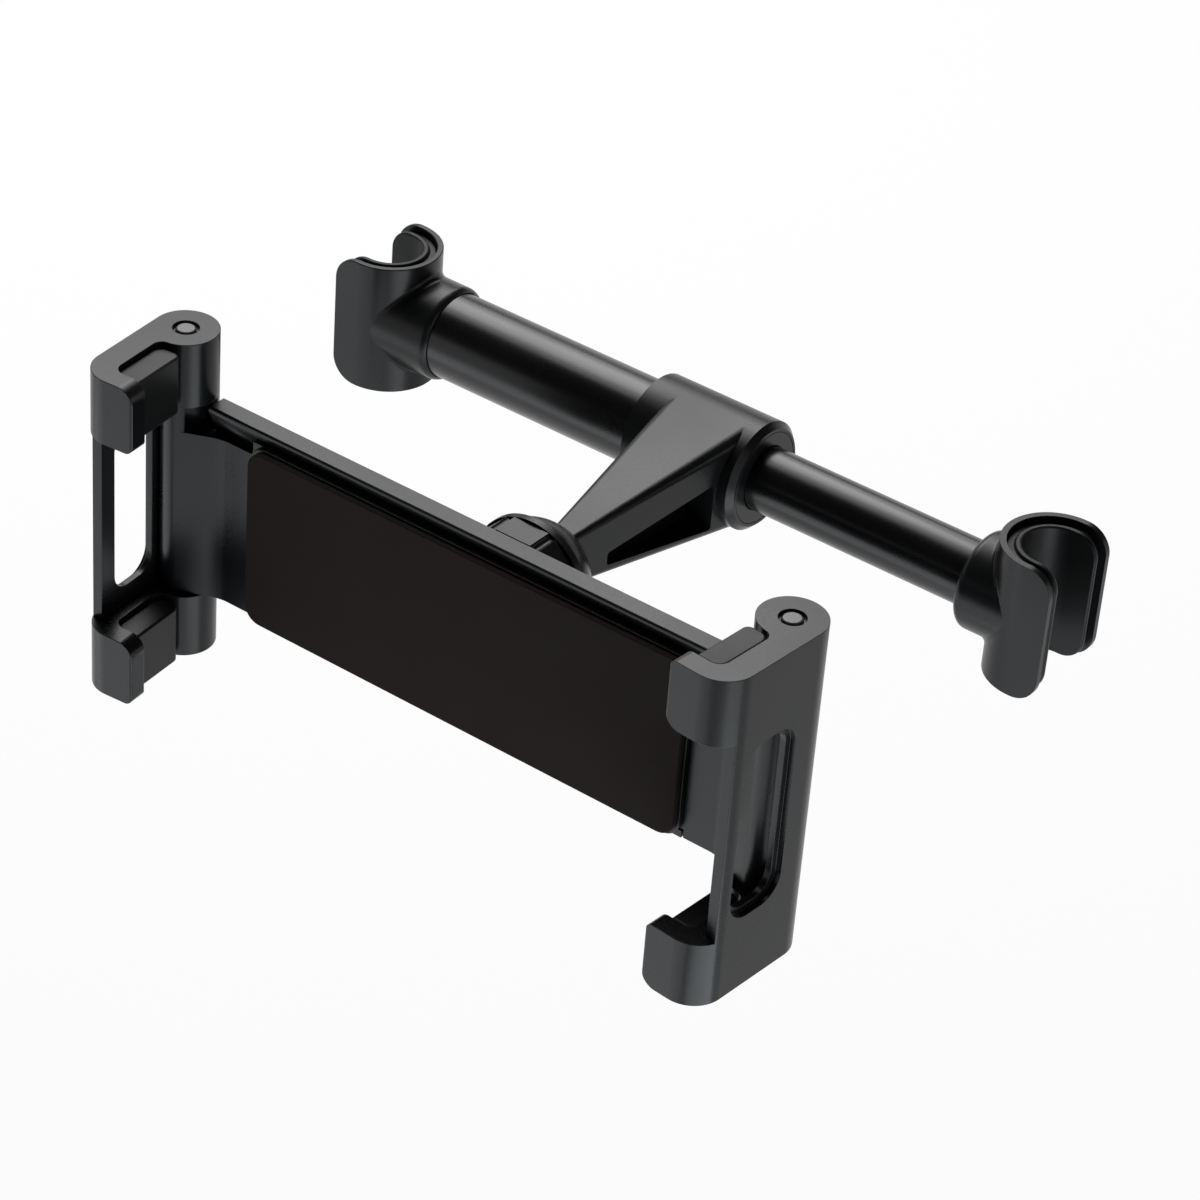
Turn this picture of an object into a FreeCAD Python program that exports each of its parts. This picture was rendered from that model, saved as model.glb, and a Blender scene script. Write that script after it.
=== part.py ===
"""Headrest tablet mount: a spring-loaded post bar, a bracket with a ball joint, and a rack-and-pinion holder.

Units are millimetres. The origin lies on the axis of the left headrest post, at the height of the bar.
+X runs along the bar to the right post, -Y points to the tablet and +Z points up.
"""
import FreeCAD, Part
import math
import os

import Sketcher

os.makedirs("parts", exist_ok=True)

# Driving dimensions, in millimetres unless the name says degrees or count
DIMENSIONS = {
    # Post bar
    "post_spacing": 173.0,
    "post_radius": 7.0,
    "outer_tube_radius": 9.8,
    "outer_tube_wall": 1.6,
    "inner_tube_radius": 7.2,
    "inner_tube_wall": 1.5,
    "tube_fit": 0.05,
    "bar_spring_wire": 1.2,
    "bar_spring_radius": 6.2,
    "bar_spring_turns_count": 8.0,
    "coil_steps_count": 10.0,
    "coil_sides_count": 6.0,
    # Post clips
    "clip_radius": 11.5,
    "clip_shell_wall": 1.4,
    "clip_height": 31.2,
    "clip_reach": 6.2,
    "clip_lip_round": 5.8,
    "clip_blend": 1.5,
    "liner_inset": 0.6,
    "liner_lip_wall": 1.3,
    "liner_lip_step": 0.9,
    "liner_fit": 0.05,
    "collar_radius": 10.9,
    "left_collar_end": 19.2,
    "right_collar_end": 16.4,
    "collar_round": 2.0,
    "tube_seat": 0.5,
    # Bracket with its barrel and socket
    "bracket_x": 89.5,
    "barrel_radius": 12.4,
    "barrel_left": 15.6,
    "barrel_right": 13.2,
    "barrel_chamfer": 1.3,
    "bush_radius": 10.4,
    "bush_depth": 7.0,
    "guide_length": 6.0,
    "stop_gap": 0.3,
    "arm_tip_distance": 9.0,
    "arm_tip_width": 5.4,
    "arm_tip_height": 11.6,
    "arm_root_distance": 2.0,
    "arm_root_width": 22.0,
    "arm_root_height": 24.4,
    "arm_tip_round": 1.2,
    "arm_root_round": 2.6,
    "pocket_web": 5.0,
    "pocket_round": 0.8,
    "pocket_tip": 43.0,
    "pocket_root": 12.9,
    "pocket_tip_high_drop": 1.8,
    "pocket_tip_low_drop": 4.9,
    "pocket_root_rise": 2.6,
    "pocket_root_drop": 8.6,
    # Ball joint
    "ball_distance": 63.8,
    "ball_radius": 7.5,
    "ball_fit": 0.06,
    "cup_radius": 9.5,
    "seat_parting": 0.6,
    "seat_rise": 0.9,
    "ring_front": 5.2,
    "neck_radius": 3.6,
    "neck_round": 0.8,
    "socket_rim_radius": 13.7,
    "socket_rim_thickness": 1.6,
    "dome_radius": 12.8,
    "thread_radius": 11.4,
    "thread_fit": 0.08,
    "nut_flat_radius": 13.1,
    "nut_length": 6.0,
    "nut_rear_gap": 0.3,
    "thread_length": 2.6,
    "nut_groove_radius": 1.1,
    "nut_opening_radius": 8.2,
    "stud_flange_radius": 9.5,
    "stud_flange_thickness": 1.6,
    "stud_screw_offset": 6.6,
    "screw_radius": 1.0,
    "screw_fit": 0.03,
    "screw_head_radius": 2.0,
    "screw_length": 4.4,
    # Holder
    "housing_end_gap": 0.3,
    "knuckle_distance": 83.3,
    "holder_drop": 1.8,
    "housing_length": 135.4,
    "housing_height": 45.8,
    "housing_front": 1.0,
    "roof_gap": 0.3,
    "housing_back": 3.5,
    "housing_wall": 2.0,
    "roof_thickness": 1.4,
    "roof_round": 0.6,
    "hub_length": 126.0,
    "hub_height": 33.0,
    "hub_back": 7.6,
    "hub_wall": 2.3,
    "boss_wall": 3.1,
    "boss_radius": 10.0,
    "hub_round": 1.5,
    "panel_length": 111.6,
    "carrier_top": 16.4,
    "panel_top": 19.6,
    "panel_thickness": 1.1,
    "pad_thickness": 1.3,
    "pad_round": 4.0,
    "pad_edge_round": 0.4,
    "pad_overhang": 0.5,
    # Sliding carriers with racks
    "slide_gap": 0.2,
    "carrier_face": 0.7,
    "carrier_thickness": 2.0,
    "carrier_bottom": 20.9,
    "carrier_inner_end": 3.0,
    "barrel_hinge_radius": 5.2,
    "fairing_start": 16.0,
    "fairing_foot": 10.5,
    "fairing_round": 14.0,
    "fairing_crest": 2.4,
    "fairing_height": 4.6,
    "slide_stroke": 48.0,
    "rack_thickness": 2.8,
    "rack_height": 4.6,
    "rack_overlap": 9.0,
    "rack_run_out": 4.0,
    "gear_module": 0.8,
    "pinion_teeth_count": 12.0,
    "gear_backlash": 0.12,
    "pressure_angle_degrees": 20.0,
    "axle_radius": 1.5,
    "axle_fit": 0.05,
    "spring_side_gap": 0.35,
    "spring_radius": 1.2,
    "spring_wire": 0.7,
    "spring_turns_count": 9.0,
    "spring_length": 34.4,
    "spring_depth": 3.4,
    "spring_peg_x": 10.0,
    "spring_peg_gap": 1.2,
    "spring_peg_radius": 0.9,
    "cut_margin": 1.0,
    "weld_depth": 0.2,
    # Gripping arms
    "arm_height": 76.2,
    "knuckle_radius": 7.0,
    "arm_depth": 26.5,
    "arm_wall": 5.8,
    "web_wall": 2.8,
    "hook_wall": 4.6,
    "hook_lip": 7.0,
    "hook_corner_small": 1.9,
    "hook_corner_large": 3.6,
    "hook_tip_round": 0.6,
    "hook_inner_round": 2.5,
    "knuckle_blend": 2.0,
    "arm_corner_round": 7.0,
    "arm_toe_degrees": 4.6,
    "arm_clearance": 0.3,
    "web_depth": 22.0,
    "skin_back_gap": 1.9,
    "slot_center": 11.6,
    "slot_width": 15.0,
    "slot_height": 41.0,
    "slot_round": 5.5,
    "slot_lip": 1.4,
    "hinge_pin_radius": 2.1,
    "hinge_fit": 0.05,
    "pin_recess_radius": 2.75,
    "pin_recess_depth": 0.8,
    "grip_pad_thickness": 5.8,
    "grip_pad_inset": 1.2,
    "grip_pad_rise": 0.2,
    "grip_pad_start": 7.4,
    "grip_pad_round": 1.5,
}


class Size:
    """A length that carries its number and the spreadsheet expression it comes from."""

    def __init__(self, number, text):
        self.number = float(number)
        self.text = text

    @staticmethod
    def of(value):
        return value if isinstance(value, Size) else Size(value, repr(float(value)))

    def joined(self, other, sign, number):
        return Size(number, "(" + self.text + " " + sign + " " + Size.of(other).text + ")")

    def __add__(self, other):
        return self.joined(other, "+", self.number + Size.of(other).number)

    def __radd__(self, other):
        return Size.of(other) + self

    def __sub__(self, other):
        return self.joined(other, "-", self.number - Size.of(other).number)

    def __rsub__(self, other):
        return Size.of(other) - self

    def __mul__(self, other):
        return self.joined(other, "*", self.number * Size.of(other).number)

    def __rmul__(self, other):
        return Size.of(other) * self

    def __truediv__(self, other):
        return self.joined(other, "/", self.number / Size.of(other).number)

    def __neg__(self):
        return Size.of(-1.0) * self


document = FreeCAD.newDocument("headrest_tablet_mount")
sheet = document.addObject("Spreadsheet::Sheet", "dims")


def fill_sheet():
    """Write each driving dimension into the sheet as plain text with its alias."""
    for row, (name, value) in enumerate(DIMENSIONS.items(), start=1):
        sheet.set("A%d" % row, name)
        sheet.set("B%d" % row, str(value))
        sheet.setAlias("B%d" % row, name)
    document.recompute()


def dim(name):
    """Return the named driving dimension."""
    return Size(DIMENSIONS[name], "dims." + name)


fill_sheet()

# Names of the origin planes and axes in a body
GROUND = "XY_Plane"
FRONT = "XZ_Plane"
SIDE = "YZ_Plane"


def origin_feature(body, role):
    """Return the body's own origin plane or axis with the given role."""
    for feature in body.Origin.OriginFeatures:
        if feature.Role == role:
            return feature
    raise ValueError("no origin feature " + role)


def bind(target, path, size):
    """Bind one property of an object to the expression of a size."""
    target.setExpression(path, Size.of(size).text)


def new_body(name):
    """Add an empty body whose label names the sub-part."""
    body = document.addObject("PartDesign::Body", name + "_body")
    body.Label = name
    body.AllowCompound = True
    return body


def place(part, x, y, z, angle=0.0):
    """Put a finished sub-part at its seat, turned about +Z by an angle in degrees."""
    turn = FreeCAD.Rotation(FreeCAD.Vector(0, 0, 1), angle)
    seat = [Size.of(value) for value in (x, y, z)]
    part.Placement = FreeCAD.Placement(FreeCAD.Vector(*[size.number for size in seat]), turn)
    for axis, size in zip("xyz", seat):
        bind(part, "Placement.Base." + axis, size)


def attach(feature, body, role, x=0.0, y=0.0, height=0.0):
    """Attach a feature to an origin plane, moved by x and y in the plane and by height along its normal."""
    offset = [Size.of(value) for value in (x, y, height)]
    feature.AttachmentSupport = (origin_feature(body, role), [""])
    feature.MapMode = "FlatFace"
    base = FreeCAD.Vector(*[size.number for size in offset])
    feature.AttachmentOffset = FreeCAD.Placement(base, FreeCAD.Rotation())
    for axis, size in zip("xyz", offset):
        bind(feature, "AttachmentOffset.Base." + axis, size)


def new_sketch(body, name, role, height=0.0):
    """Add an empty sketch on an origin plane, at a height along the plane's normal."""
    sketch = body.newObject("Sketcher::SketchObject", name)
    attach(sketch, body, role, 0.0, 0.0, height)
    sketch.Visibility = False
    return sketch


def constrain(sketch, kind, where, size):
    """Add a driving constraint and bind it to the size's expression."""
    number = sketch.addConstraint(Sketcher.Constraint(kind, *where, size.number))
    sketch.setExpression("Constraints[%d]" % number, size.text)


def fix_point(sketch, geometry, position, point):
    """Fix one point of a geometry at its two coordinates."""
    constrain(sketch, "DistanceX", (geometry, position), Size.of(point[0]))
    constrain(sketch, "DistanceY", (geometry, position), Size.of(point[1]))


def draw_circle(sketch, x, y, radius):
    """Draw a circle with its centre and radius fixed."""
    centre = FreeCAD.Vector(Size.of(x).number, Size.of(y).number, 0)
    shape = Part.Circle(centre, FreeCAD.Vector(0, 0, 1), Size.of(radius).number)
    circle = sketch.addGeometry(shape)
    constrain(sketch, "Radius", (circle,), Size.of(radius))
    fix_point(sketch, circle, 3, (x, y))


def unit(start, end):
    """Return the unit vector from one point to another."""
    return (end - start).normalize()


def corner_arc(point, back, ahead, radius):
    """Return the arc that rounds a corner, its two ends, and whether it runs from the back end."""
    half = back.getAngle(ahead) / 2.0
    reach = radius / math.tan(half)
    centre = point + (back + ahead).normalize() * (radius / math.sin(half))
    first = point + back * reach
    last = point + ahead * reach
    forward = back.cross(ahead).z < 0.0
    start, end = (first, last) if forward else (last, first)
    angles = [math.atan2(spot.y - centre.y, spot.x - centre.x) for spot in (start, end)]
    if angles[1] < angles[0]:
        angles[1] += 2.0 * math.pi
    circle = Part.Circle(centre, FreeCAD.Vector(0, 0, 1), radius)
    return Part.ArcOfCircle(circle, angles[0], angles[1]), first, last, forward


def draw_outline(sketch, corners):
    """Draw a closed outline; each corner is (x, y) or (x, y, round radius)."""
    points = [FreeCAD.Vector(Size.of(c[0]).number, Size.of(c[1]).number, 0) for c in corners]
    count = len(corners)
    starts, ends, arcs = list(points), list(points), [None] * count
    for i, corner in enumerate(corners):
        if len(corner) == 3:
            back = unit(points[i], points[i - 1])
            ahead = unit(points[i], points[(i + 1) % count])
            radius = Size.of(corner[2]).number
            arc, ends[i], starts[i], forward = corner_arc(points[i], back, ahead, radius)
            arcs[i] = (arc, forward)
    lines = []
    for i in range(count):
        lines.append(sketch.addGeometry(Part.LineSegment(starts[i], ends[(i + 1) % count])))
    for i, corner in enumerate(corners):
        before, after = lines[i - 1], lines[i]
        if arcs[i] is None:
            sketch.addConstraint(Sketcher.Constraint("Coincident", before, 2, after, 1))
            fix_point(sketch, after, 1, corner)
            continue
        arc = sketch.addGeometry(arcs[i][0])
        first, last = (1, 2) if arcs[i][1] else (2, 1)
        sketch.addConstraint(Sketcher.Constraint("Tangent", before, 2, arc, first))
        sketch.addConstraint(Sketcher.Constraint("Tangent", after, 1, arc, last))
        constrain(sketch, "Radius", (arc,), Size.of(corner[2]))
        mark = sketch.addGeometry(Part.Point(points[i]), True)
        sketch.addConstraint(Sketcher.Constraint("PointOnObject", mark, 1, before))
        sketch.addConstraint(Sketcher.Constraint("PointOnObject", mark, 1, after))
        fix_point(sketch, mark, 1, corner)


def extrude(body, sketch, length, name, kind="Pad", reverse=False):
    """Pad or pocket a sketch by a length."""
    feature = body.newObject("PartDesign::" + kind, name)
    feature.Profile = sketch
    feature.Length = Size.of(length).number
    feature.Reversed = reverse
    bind(feature, "Length", length)
    return feature


def spin(body, sketch, name, axis, kind="Revolution"):
    """Turn a sketch fully round one of the body's axes."""
    feature = body.newObject("PartDesign::" + kind, name)
    feature.Profile = sketch
    feature.ReferenceAxis = (origin_feature(body, axis), [""])
    feature.Angle = 360.0
    return feature


def add_primitive(body, kind, name, role, seat, sizes):
    """Add a primitive feature on an origin plane; seat is (x, y, height) in that plane."""
    feature = body.newObject("PartDesign::" + kind, name)
    attach(feature, body, role, *seat)
    for key, size in sizes.items():
        setattr(feature, key, Size.of(size).number)
        bind(feature, key, size)
    return feature


def block(body, name, low, high, kind="AdditiveBox"):
    """Add or cut an upright box between two corners."""
    low = [Size.of(value) for value in low]
    spans = [Size.of(value) - start for value, start in zip(high, low)]
    sizes = dict(zip(("Length", "Width", "Height"), spans))
    return add_primitive(body, kind, name, GROUND, low, sizes)


def rod(body, name, axis, centre, start, end, radius, kind="AdditiveCylinder"):
    """Add or cut a cylinder along an axis; centre is its place in the plane across that axis."""
    start, end = Size.of(start), Size.of(end)
    sizes = {"Radius": radius, "Height": end - start}
    if axis == "Z":
        return add_primitive(body, kind, name, GROUND, (centre[0], centre[1], start), sizes)
    if axis == "X":
        return add_primitive(body, kind, name, SIDE, (centre[0], centre[1], start), sizes)
    return add_primitive(body, kind, name, FRONT, (centre[0], centre[1], -end), sizes)


def ball(body, name, radius, kind="AdditiveSphere"):
    """Add or cut a sphere about the body's origin."""
    return add_primitive(body, kind, name, GROUND, (0.0, 0.0, 0.0), {"Radius": radius})


def edges_where(feature, test):
    """Return the names of the edges of a feature's shape that pass a test."""
    found = []
    for number, edge in enumerate(feature.Shape.Edges, start=1):
        if test(edge):
            found.append("Edge%d" % number)
    return found


def near(value, target):
    """Tell whether a coordinate matches a target size."""
    return abs(value - Size.of(target).number) < 0.02


def dress(body, base, name, edges, size, kind="Fillet"):
    """Round or chamfer the named edges of the body's last feature."""
    feature = body.newObject("PartDesign::" + kind, name)
    feature.Base = (base, edges)
    key = "Radius" if kind == "Fillet" else "Size"
    setattr(feature, key, Size.of(size).number)
    bind(feature, key, size)
    return feature


def repeat(body, originals, name, axis, count, span):
    """Repeat features round an axis over a full turn, or along it over a length."""
    polar = span is None
    feature = body.newObject("PartDesign::PolarPattern" if polar else "PartDesign::LinearPattern", name)
    feature.Originals = originals
    reference = (origin_feature(body, axis), [""])
    if polar:
        feature.Axis = reference
        feature.Angle = 360.0
    else:
        feature.Direction = reference
        feature.Length = Size.of(span).number
        bind(feature, "Length", span)
    feature.Occurrences = int(Size.of(count).number)
    bind(feature, "Occurrences", count)
    body.Tip = feature
    return feature


# Places shared by several sub-parts
bracket_x = dim("bracket_x")
barrel_end = bracket_x + dim("barrel_right")
bush_start = barrel_end - dim("bush_depth")
tube_floor = dim("clip_radius") + dim("tube_seat")
rest_plug_end = bush_start - dim("stop_gap")
plug_start = rest_plug_end - dim("guide_length")
plug_face = plug_start - dim("inner_tube_wall")
ball_y = -dim("ball_distance")
holder_y = -dim("knuckle_distance")
holder_z = -dim("holder_drop")
hub_rise = dim("holder_drop")
half_height = dim("housing_height") / 2.0
pitch_radius = dim("gear_module") * dim("pinion_teeth_count") / 2.0
dedendum = dim("gear_module") * 1.25
weld = dim("weld_depth")
knuckle_spacing = dim("housing_length") + (dim("knuckle_radius") + dim("housing_end_gap")) * 2.0
arm_half = dim("arm_height") / 2.0
hook_low = half_height + dim("arm_clearance")
spring_level = (pitch_radius + dedendum + dim("rack_height") + dim("spring_side_gap")
                + dim("spring_radius") + dim("spring_wire") / 2.0)
spring_post_x = dim("spring_length") - dim("spring_peg_x") + dim("spring_peg_gap") * 2.0


def add_back(body, name, side, high, radius):
    """Solid half cylinder on the closed side of a U."""
    rod(body, name + "_back", "Z", (0.0, 0.0), -high, high, radius)
    low_x, high_x = (0.0, radius) if side > 0 else (-radius, 0.0)
    block(body, name + "_back_cut", (low_x, -radius, -high), (high_x, radius, high), "SubtractiveBox")


def add_legs(body, name, side, reach, high, half_width, corner):
    """Solid legs of a U, which end in lips with rounded corners; the mouth is cut out afterwards."""
    sketch = new_sketch(body, name + "_legs_outline", FRONT, -half_width)
    draw_outline(sketch, [(0.0, -high), (side * reach, -high, corner), (side * reach, high, corner),
                          (0.0, high)])
    extrude(body, sketch, 2.0 * half_width, name + "_legs")


def build_clip(name, side, seat_x, collar_end, tube_radius):
    """Post clip: a U shell that opens away from the bar, and the collar that takes the tube."""
    body = new_body(name)
    radius = dim("clip_radius")
    low = -dim("clip_height") / 2.0
    high = dim("clip_height") / 2.0
    reach = dim("clip_reach")
    inner = radius - dim("clip_shell_wall")
    add_back(body, name, side, high, radius)
    add_legs(body, name, side, reach, high, radius, dim("clip_lip_round"))
    profile = new_sketch(body, name + "_collar_profile", GROUND)
    outer = dim("collar_radius")
    end = -side * Size.of(collar_end)
    draw_outline(profile, [(0.0, 0.0), (end, 0.0), (end, outer, dim("collar_round")), (0.0, outer)])
    collar = spin(body, profile, name + "_collar", "X_Axis")
    document.recompute()
    seam_low = math.sqrt(radius.number ** 2 - outer.number ** 2)
    margin = dim("cut_margin").number
    seam = edges_where(collar, lambda edge: -side * edge.BoundBox.Center.x > seam_low
                       and edge.BoundBox.XLength > margin and edge.BoundBox.ZLength > margin
                       and edge.BoundBox.ZMax < high.number - margin)
    dress(body, collar, name + "_collar_blend", seam, dim("clip_blend"))
    rod(body, name + "_post_bore", "Z", (0.0, 0.0), low, high, inner, "SubtractiveCylinder")
    cut_low, cut_high = (0.0, reach) if side > 0 else (-reach, 0.0)
    block(body, name + "_mouth", (cut_low, -inner, low), (cut_high, inner, high), "SubtractiveBox")
    bore = Size.of(tube_radius) + dim("tube_fit")
    bore_low, bore_high = (end, -tube_floor) if side > 0 else (tube_floor, end)
    rod(body, name + "_tube_bore", "X", (0.0, 0.0), bore_low, bore_high, bore, "SubtractiveCylinder")
    place(body, seat_x, 0.0, 0.0)


def build_liner(name, side, seat_x):
    """Rubber liner: a U strip pressed into the clip, with a raised inner lip round the post."""
    body = new_body(name)
    outer = dim("clip_radius") - dim("clip_shell_wall") - dim("liner_fit")
    inner = dim("post_radius")
    high = dim("clip_height") / 2.0 - dim("liner_inset")
    reach = dim("clip_reach") - dim("liner_inset")
    low_x, high_x = (0.0, reach) if side > 0 else (-reach, 0.0)
    step = dim("liner_lip_step")
    layers = (("strip", outer, step), ("lip", inner + dim("liner_lip_wall"), 0.0))
    for layer, half_width, drop in layers:
        add_back(body, name + "_" + layer, side, high - drop, half_width)
    for layer, half_width, drop in layers:
        corner = dim("clip_lip_round") - dim("liner_inset") - drop
        add_legs(body, name + "_" + layer, side, reach - drop, high - drop, half_width, corner)
    rod(body, name + "_bore", "Z", (0.0, 0.0), -high, high, inner, "SubtractiveCylinder")
    block(body, name + "_mouth", (low_x, -inner, -high), (high_x, inner, high), "SubtractiveBox")
    place(body, seat_x, 0.0, 0.0)


def build_tubes():
    """Outer and inner tube of the bar, with the inner tube's guide plug."""
    bore = dim("outer_tube_radius") - dim("outer_tube_wall")
    outer = new_body("outer_tube")
    rod(outer, "outer_tube_rod", "X", (0.0, 0.0), tube_floor, bush_start, dim("outer_tube_radius"))
    rod(outer, "outer_tube_bore", "X", (0.0, 0.0), tube_floor, bush_start, bore, "SubtractiveCylinder")
    place(outer, 0.0, 0.0, 0.0)
    end = dim("post_spacing") - tube_floor
    inner_bore = dim("inner_tube_radius") - dim("inner_tube_wall")
    inner = new_body("inner_tube")
    rod(inner, "inner_tube_rod", "X", (0.0, 0.0), plug_start, end, dim("inner_tube_radius"))
    rod(inner, "inner_tube_bore", "X", (0.0, 0.0), plug_start, end, inner_bore, "SubtractiveCylinder")
    place(inner, 0.0, 0.0, 0.0)
    plug = new_body("guide_plug")
    profile = new_sketch(plug, "guide_plug_profile", GROUND)
    ring = bore - dim("tube_fit")
    cup = dim("inner_tube_radius") + dim("tube_fit") / 2.0
    draw_outline(profile, [(plug_face, 0.0), (plug_start, 0.0), (plug_start, cup),
                           (rest_plug_end, cup), (rest_plug_end, ring), (plug_face, ring)])
    spin(plug, profile, "guide_plug_turned", "X_Axis")
    place(plug, 0.0, 0.0, 0.0)


def build_bush():
    """Plastic bush that closes the barrel and guides the inner tube."""
    body = new_body("tube_bush")
    profile = new_sketch(body, "tube_bush_profile", GROUND)
    inner = dim("inner_tube_radius") + dim("tube_fit")
    outer = dim("bush_radius")
    draw_outline(profile, [(bush_start, inner), (barrel_end, inner), (barrel_end, outer),
                           (bush_start, outer)])
    spin(body, profile, "tube_bush_turned", "X_Axis")
    place(body, 0.0, 0.0, 0.0)


def build_spring(name, radius, wire, turns, start, length, seat_y, seat_z):
    """Coil spring along +X: a wire with flats swept along short straight steps of a helix."""
    wire, length, radius = Size.of(wire), Size.of(length), Size.of(radius)
    steps = int(dim("coil_steps_count").number)
    total = int(Size.of(turns).number) * steps
    rise = (length - wire).number / total
    points = []
    for step in range(total + 1):
        angle = 2.0 * math.pi * step / steps
        points.append(FreeCAD.Vector(radius.number * math.cos(angle), radius.number * math.sin(angle),
                                     rise * step))
    path = document.addObject("Part::Polygon", name + "_path")
    path.Nodes = points
    section = document.addObject("Part::RegularPolygon", name + "_section")
    section.Polygon = int(dim("coil_sides_count").number)
    bind(section, "Circumradius", wire / 2.0)
    ahead = FreeCAD.Rotation(FreeCAD.Vector(0, 0, 1), unit(points[0], points[1]))
    section.Placement = FreeCAD.Placement(points[0], ahead)
    document.recompute()
    sweep = document.addObject("Part::Sweep", name + "_coil")
    sweep.Label = name
    sweep.Sections = [section]
    sweep.Spine = (path, ["Edge%d" % number for number in range(1, total + 1)])
    sweep.Solid = True
    sweep.Frenet = False
    sweep.Transition = "Right corner"
    seat = [Size.of(start) + wire / 2.0, Size.of(seat_y), Size.of(seat_z)]
    turn = FreeCAD.Rotation(FreeCAD.Vector(0, 1, 0), 90)
    sweep.Placement = FreeCAD.Placement(FreeCAD.Vector(*[size.number for size in seat]), turn)
    for axis, size in zip("xyz", seat):
        bind(sweep, "Placement.Base." + axis, size)


def arm_section(body, name, distance, width, height, corner):
    """Rounded rectangle across the bracket's arm at a distance in front of the bar."""
    sketch = new_sketch(body, name, FRONT, distance)
    half_x, half_z = width / 2.0, height / 2.0
    draw_outline(sketch, [(-half_x, -half_z, corner), (half_x, -half_z, corner),
                          (half_x, half_z, corner), (-half_x, half_z, corner)])
    return sketch


def side_pockets(body):
    """Blind tapered pocket in each flank of the arm, down to its middle web."""
    half = dim("pocket_web") / 2.0
    for side, name in ((1, "right_pocket"), (-1, "left_pocket")):
        sketch = new_sketch(body, name + "_outline", SIDE, side * half)
        draw_outline(sketch, [
            (-dim("pocket_tip"), -dim("pocket_tip_low_drop"), dim("pocket_round")),
            (-dim("pocket_root"), -dim("pocket_root_drop"), dim("pocket_round")),
            (-dim("pocket_root"), dim("pocket_root_rise"), dim("pocket_round")),
            (-dim("pocket_tip"), -dim("pocket_tip_high_drop"), dim("pocket_round")),
        ])
        extrude(body, sketch, dim("arm_root_width") / 2.0, name, "Pocket", side > 0)


def build_bracket():
    """Bracket: barrel round the bar, tapered arm with side pockets, domed socket and thread."""
    body = new_body("bracket")
    left, right = -dim("barrel_left"), dim("barrel_right")
    distance = dim("ball_distance")
    rod(body, "barrel", "X", (0.0, 0.0), left, right, dim("barrel_radius"))
    root = arm_section(body, "arm_root_section", dim("arm_root_distance"), dim("arm_root_width"),
                       dim("arm_root_height"), dim("arm_root_round"))
    tip = arm_section(body, "arm_tip_section", distance - dim("arm_tip_distance"),
                      dim("arm_tip_width"), dim("arm_tip_height"), dim("arm_tip_round"))
    loft = body.newObject("PartDesign::AdditiveLoft", "arm_loft")
    loft.Profile = root
    loft.Sections = [tip]
    loft.Ruled = True
    rim_front = ball_y + dim("nut_rear_gap")
    thread_front = ball_y - dim("thread_length")
    dome = dim("dome_radius")
    add_primitive(body, "AdditiveSphere", "socket_dome", FRONT, (0.0, 0.0, distance), {"Radius": dome})
    rod(body, "socket_front_cut", "Y", (0.0, 0.0), ball_y - dome - 1.0, rim_front, dome + 1.0,
        "SubtractiveCylinder")
    rod(body, "socket_rim", "Y", (0.0, 0.0), rim_front, rim_front + dim("socket_rim_thickness"),
        dim("socket_rim_radius"))
    rod(body, "socket_thread", "Y", (0.0, 0.0), thread_front, rim_front, dim("thread_radius"))
    seat = dim("cup_radius") + dim("ball_fit")
    add_primitive(body, "SubtractiveSphere", "socket_seat", FRONT, (0.0, 0.0, distance), {"Radius": seat})
    rod(body, "socket_mouth", "Y", (0.0, 0.0), thread_front, ball_y, seat + dim("ball_fit"),
        "SubtractiveCylinder")
    side_pockets(body)
    rod(body, "barrel_bore", "X", (0.0, 0.0), left, right,
        dim("outer_tube_radius") + dim("tube_fit"), "SubtractiveCylinder")
    last = rod(body, "bush_bore", "X", (0.0, 0.0), right - dim("bush_depth"), right,
               dim("bush_radius") + dim("tube_fit"), "SubtractiveCylinder")
    document.recompute()
    width = 2.0 * dim("barrel_radius").number
    rims = edges_where(last, lambda edge: near(edge.BoundBox.XMin, right) and near(edge.BoundBox.XMax, right)
                       and abs(edge.BoundBox.ZLength - width) < 0.1)
    dress(body, last, "barrel_end_chamfer", rims, dim("barrel_chamfer"), "Chamfer")
    place(body, bracket_x, 0.0, 0.0)


def build_nut():
    """Lock nut: eight flats with grooves between them, a thread bore and a spherical front lip."""
    body = new_body("lock_nut")
    front = -dim("nut_length")
    flats = new_sketch(body, "nut_outline", FRONT, 0.0)
    far = dim("nut_flat_radius")
    near_side = far * math.tan(math.pi / 8.0)
    draw_outline(flats, [(near_side, far), (-near_side, far), (-far, near_side), (-far, -near_side),
                         (-near_side, -far), (near_side, -far), (far, -near_side), (far, near_side)])
    extrude(body, flats, dim("nut_length"), "nut_block")
    groove = rod(body, "nut_groove", "Y", (near_side, far), front, 0.0, dim("nut_groove_radius"),
                 "SubtractiveCylinder")
    repeat(body, [groove], "nut_grooves", "Y_Axis", 8, None)
    bore = dim("thread_radius") + dim("thread_fit")
    rod(body, "nut_thread_bore", "Y", (0.0, 0.0), -dim("thread_length") - dim("stop_gap"), 0.0, bore,
        "SubtractiveCylinder")
    ball(body, "nut_seat", dim("cup_radius") + dim("ball_fit"), "SubtractiveSphere")
    rod(body, "nut_opening", "Y", (0.0, 0.0), front, 0.0, dim("nut_opening_radius"),
        "SubtractiveCylinder")
    place(body, bracket_x, ball_y, 0.0)


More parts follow.
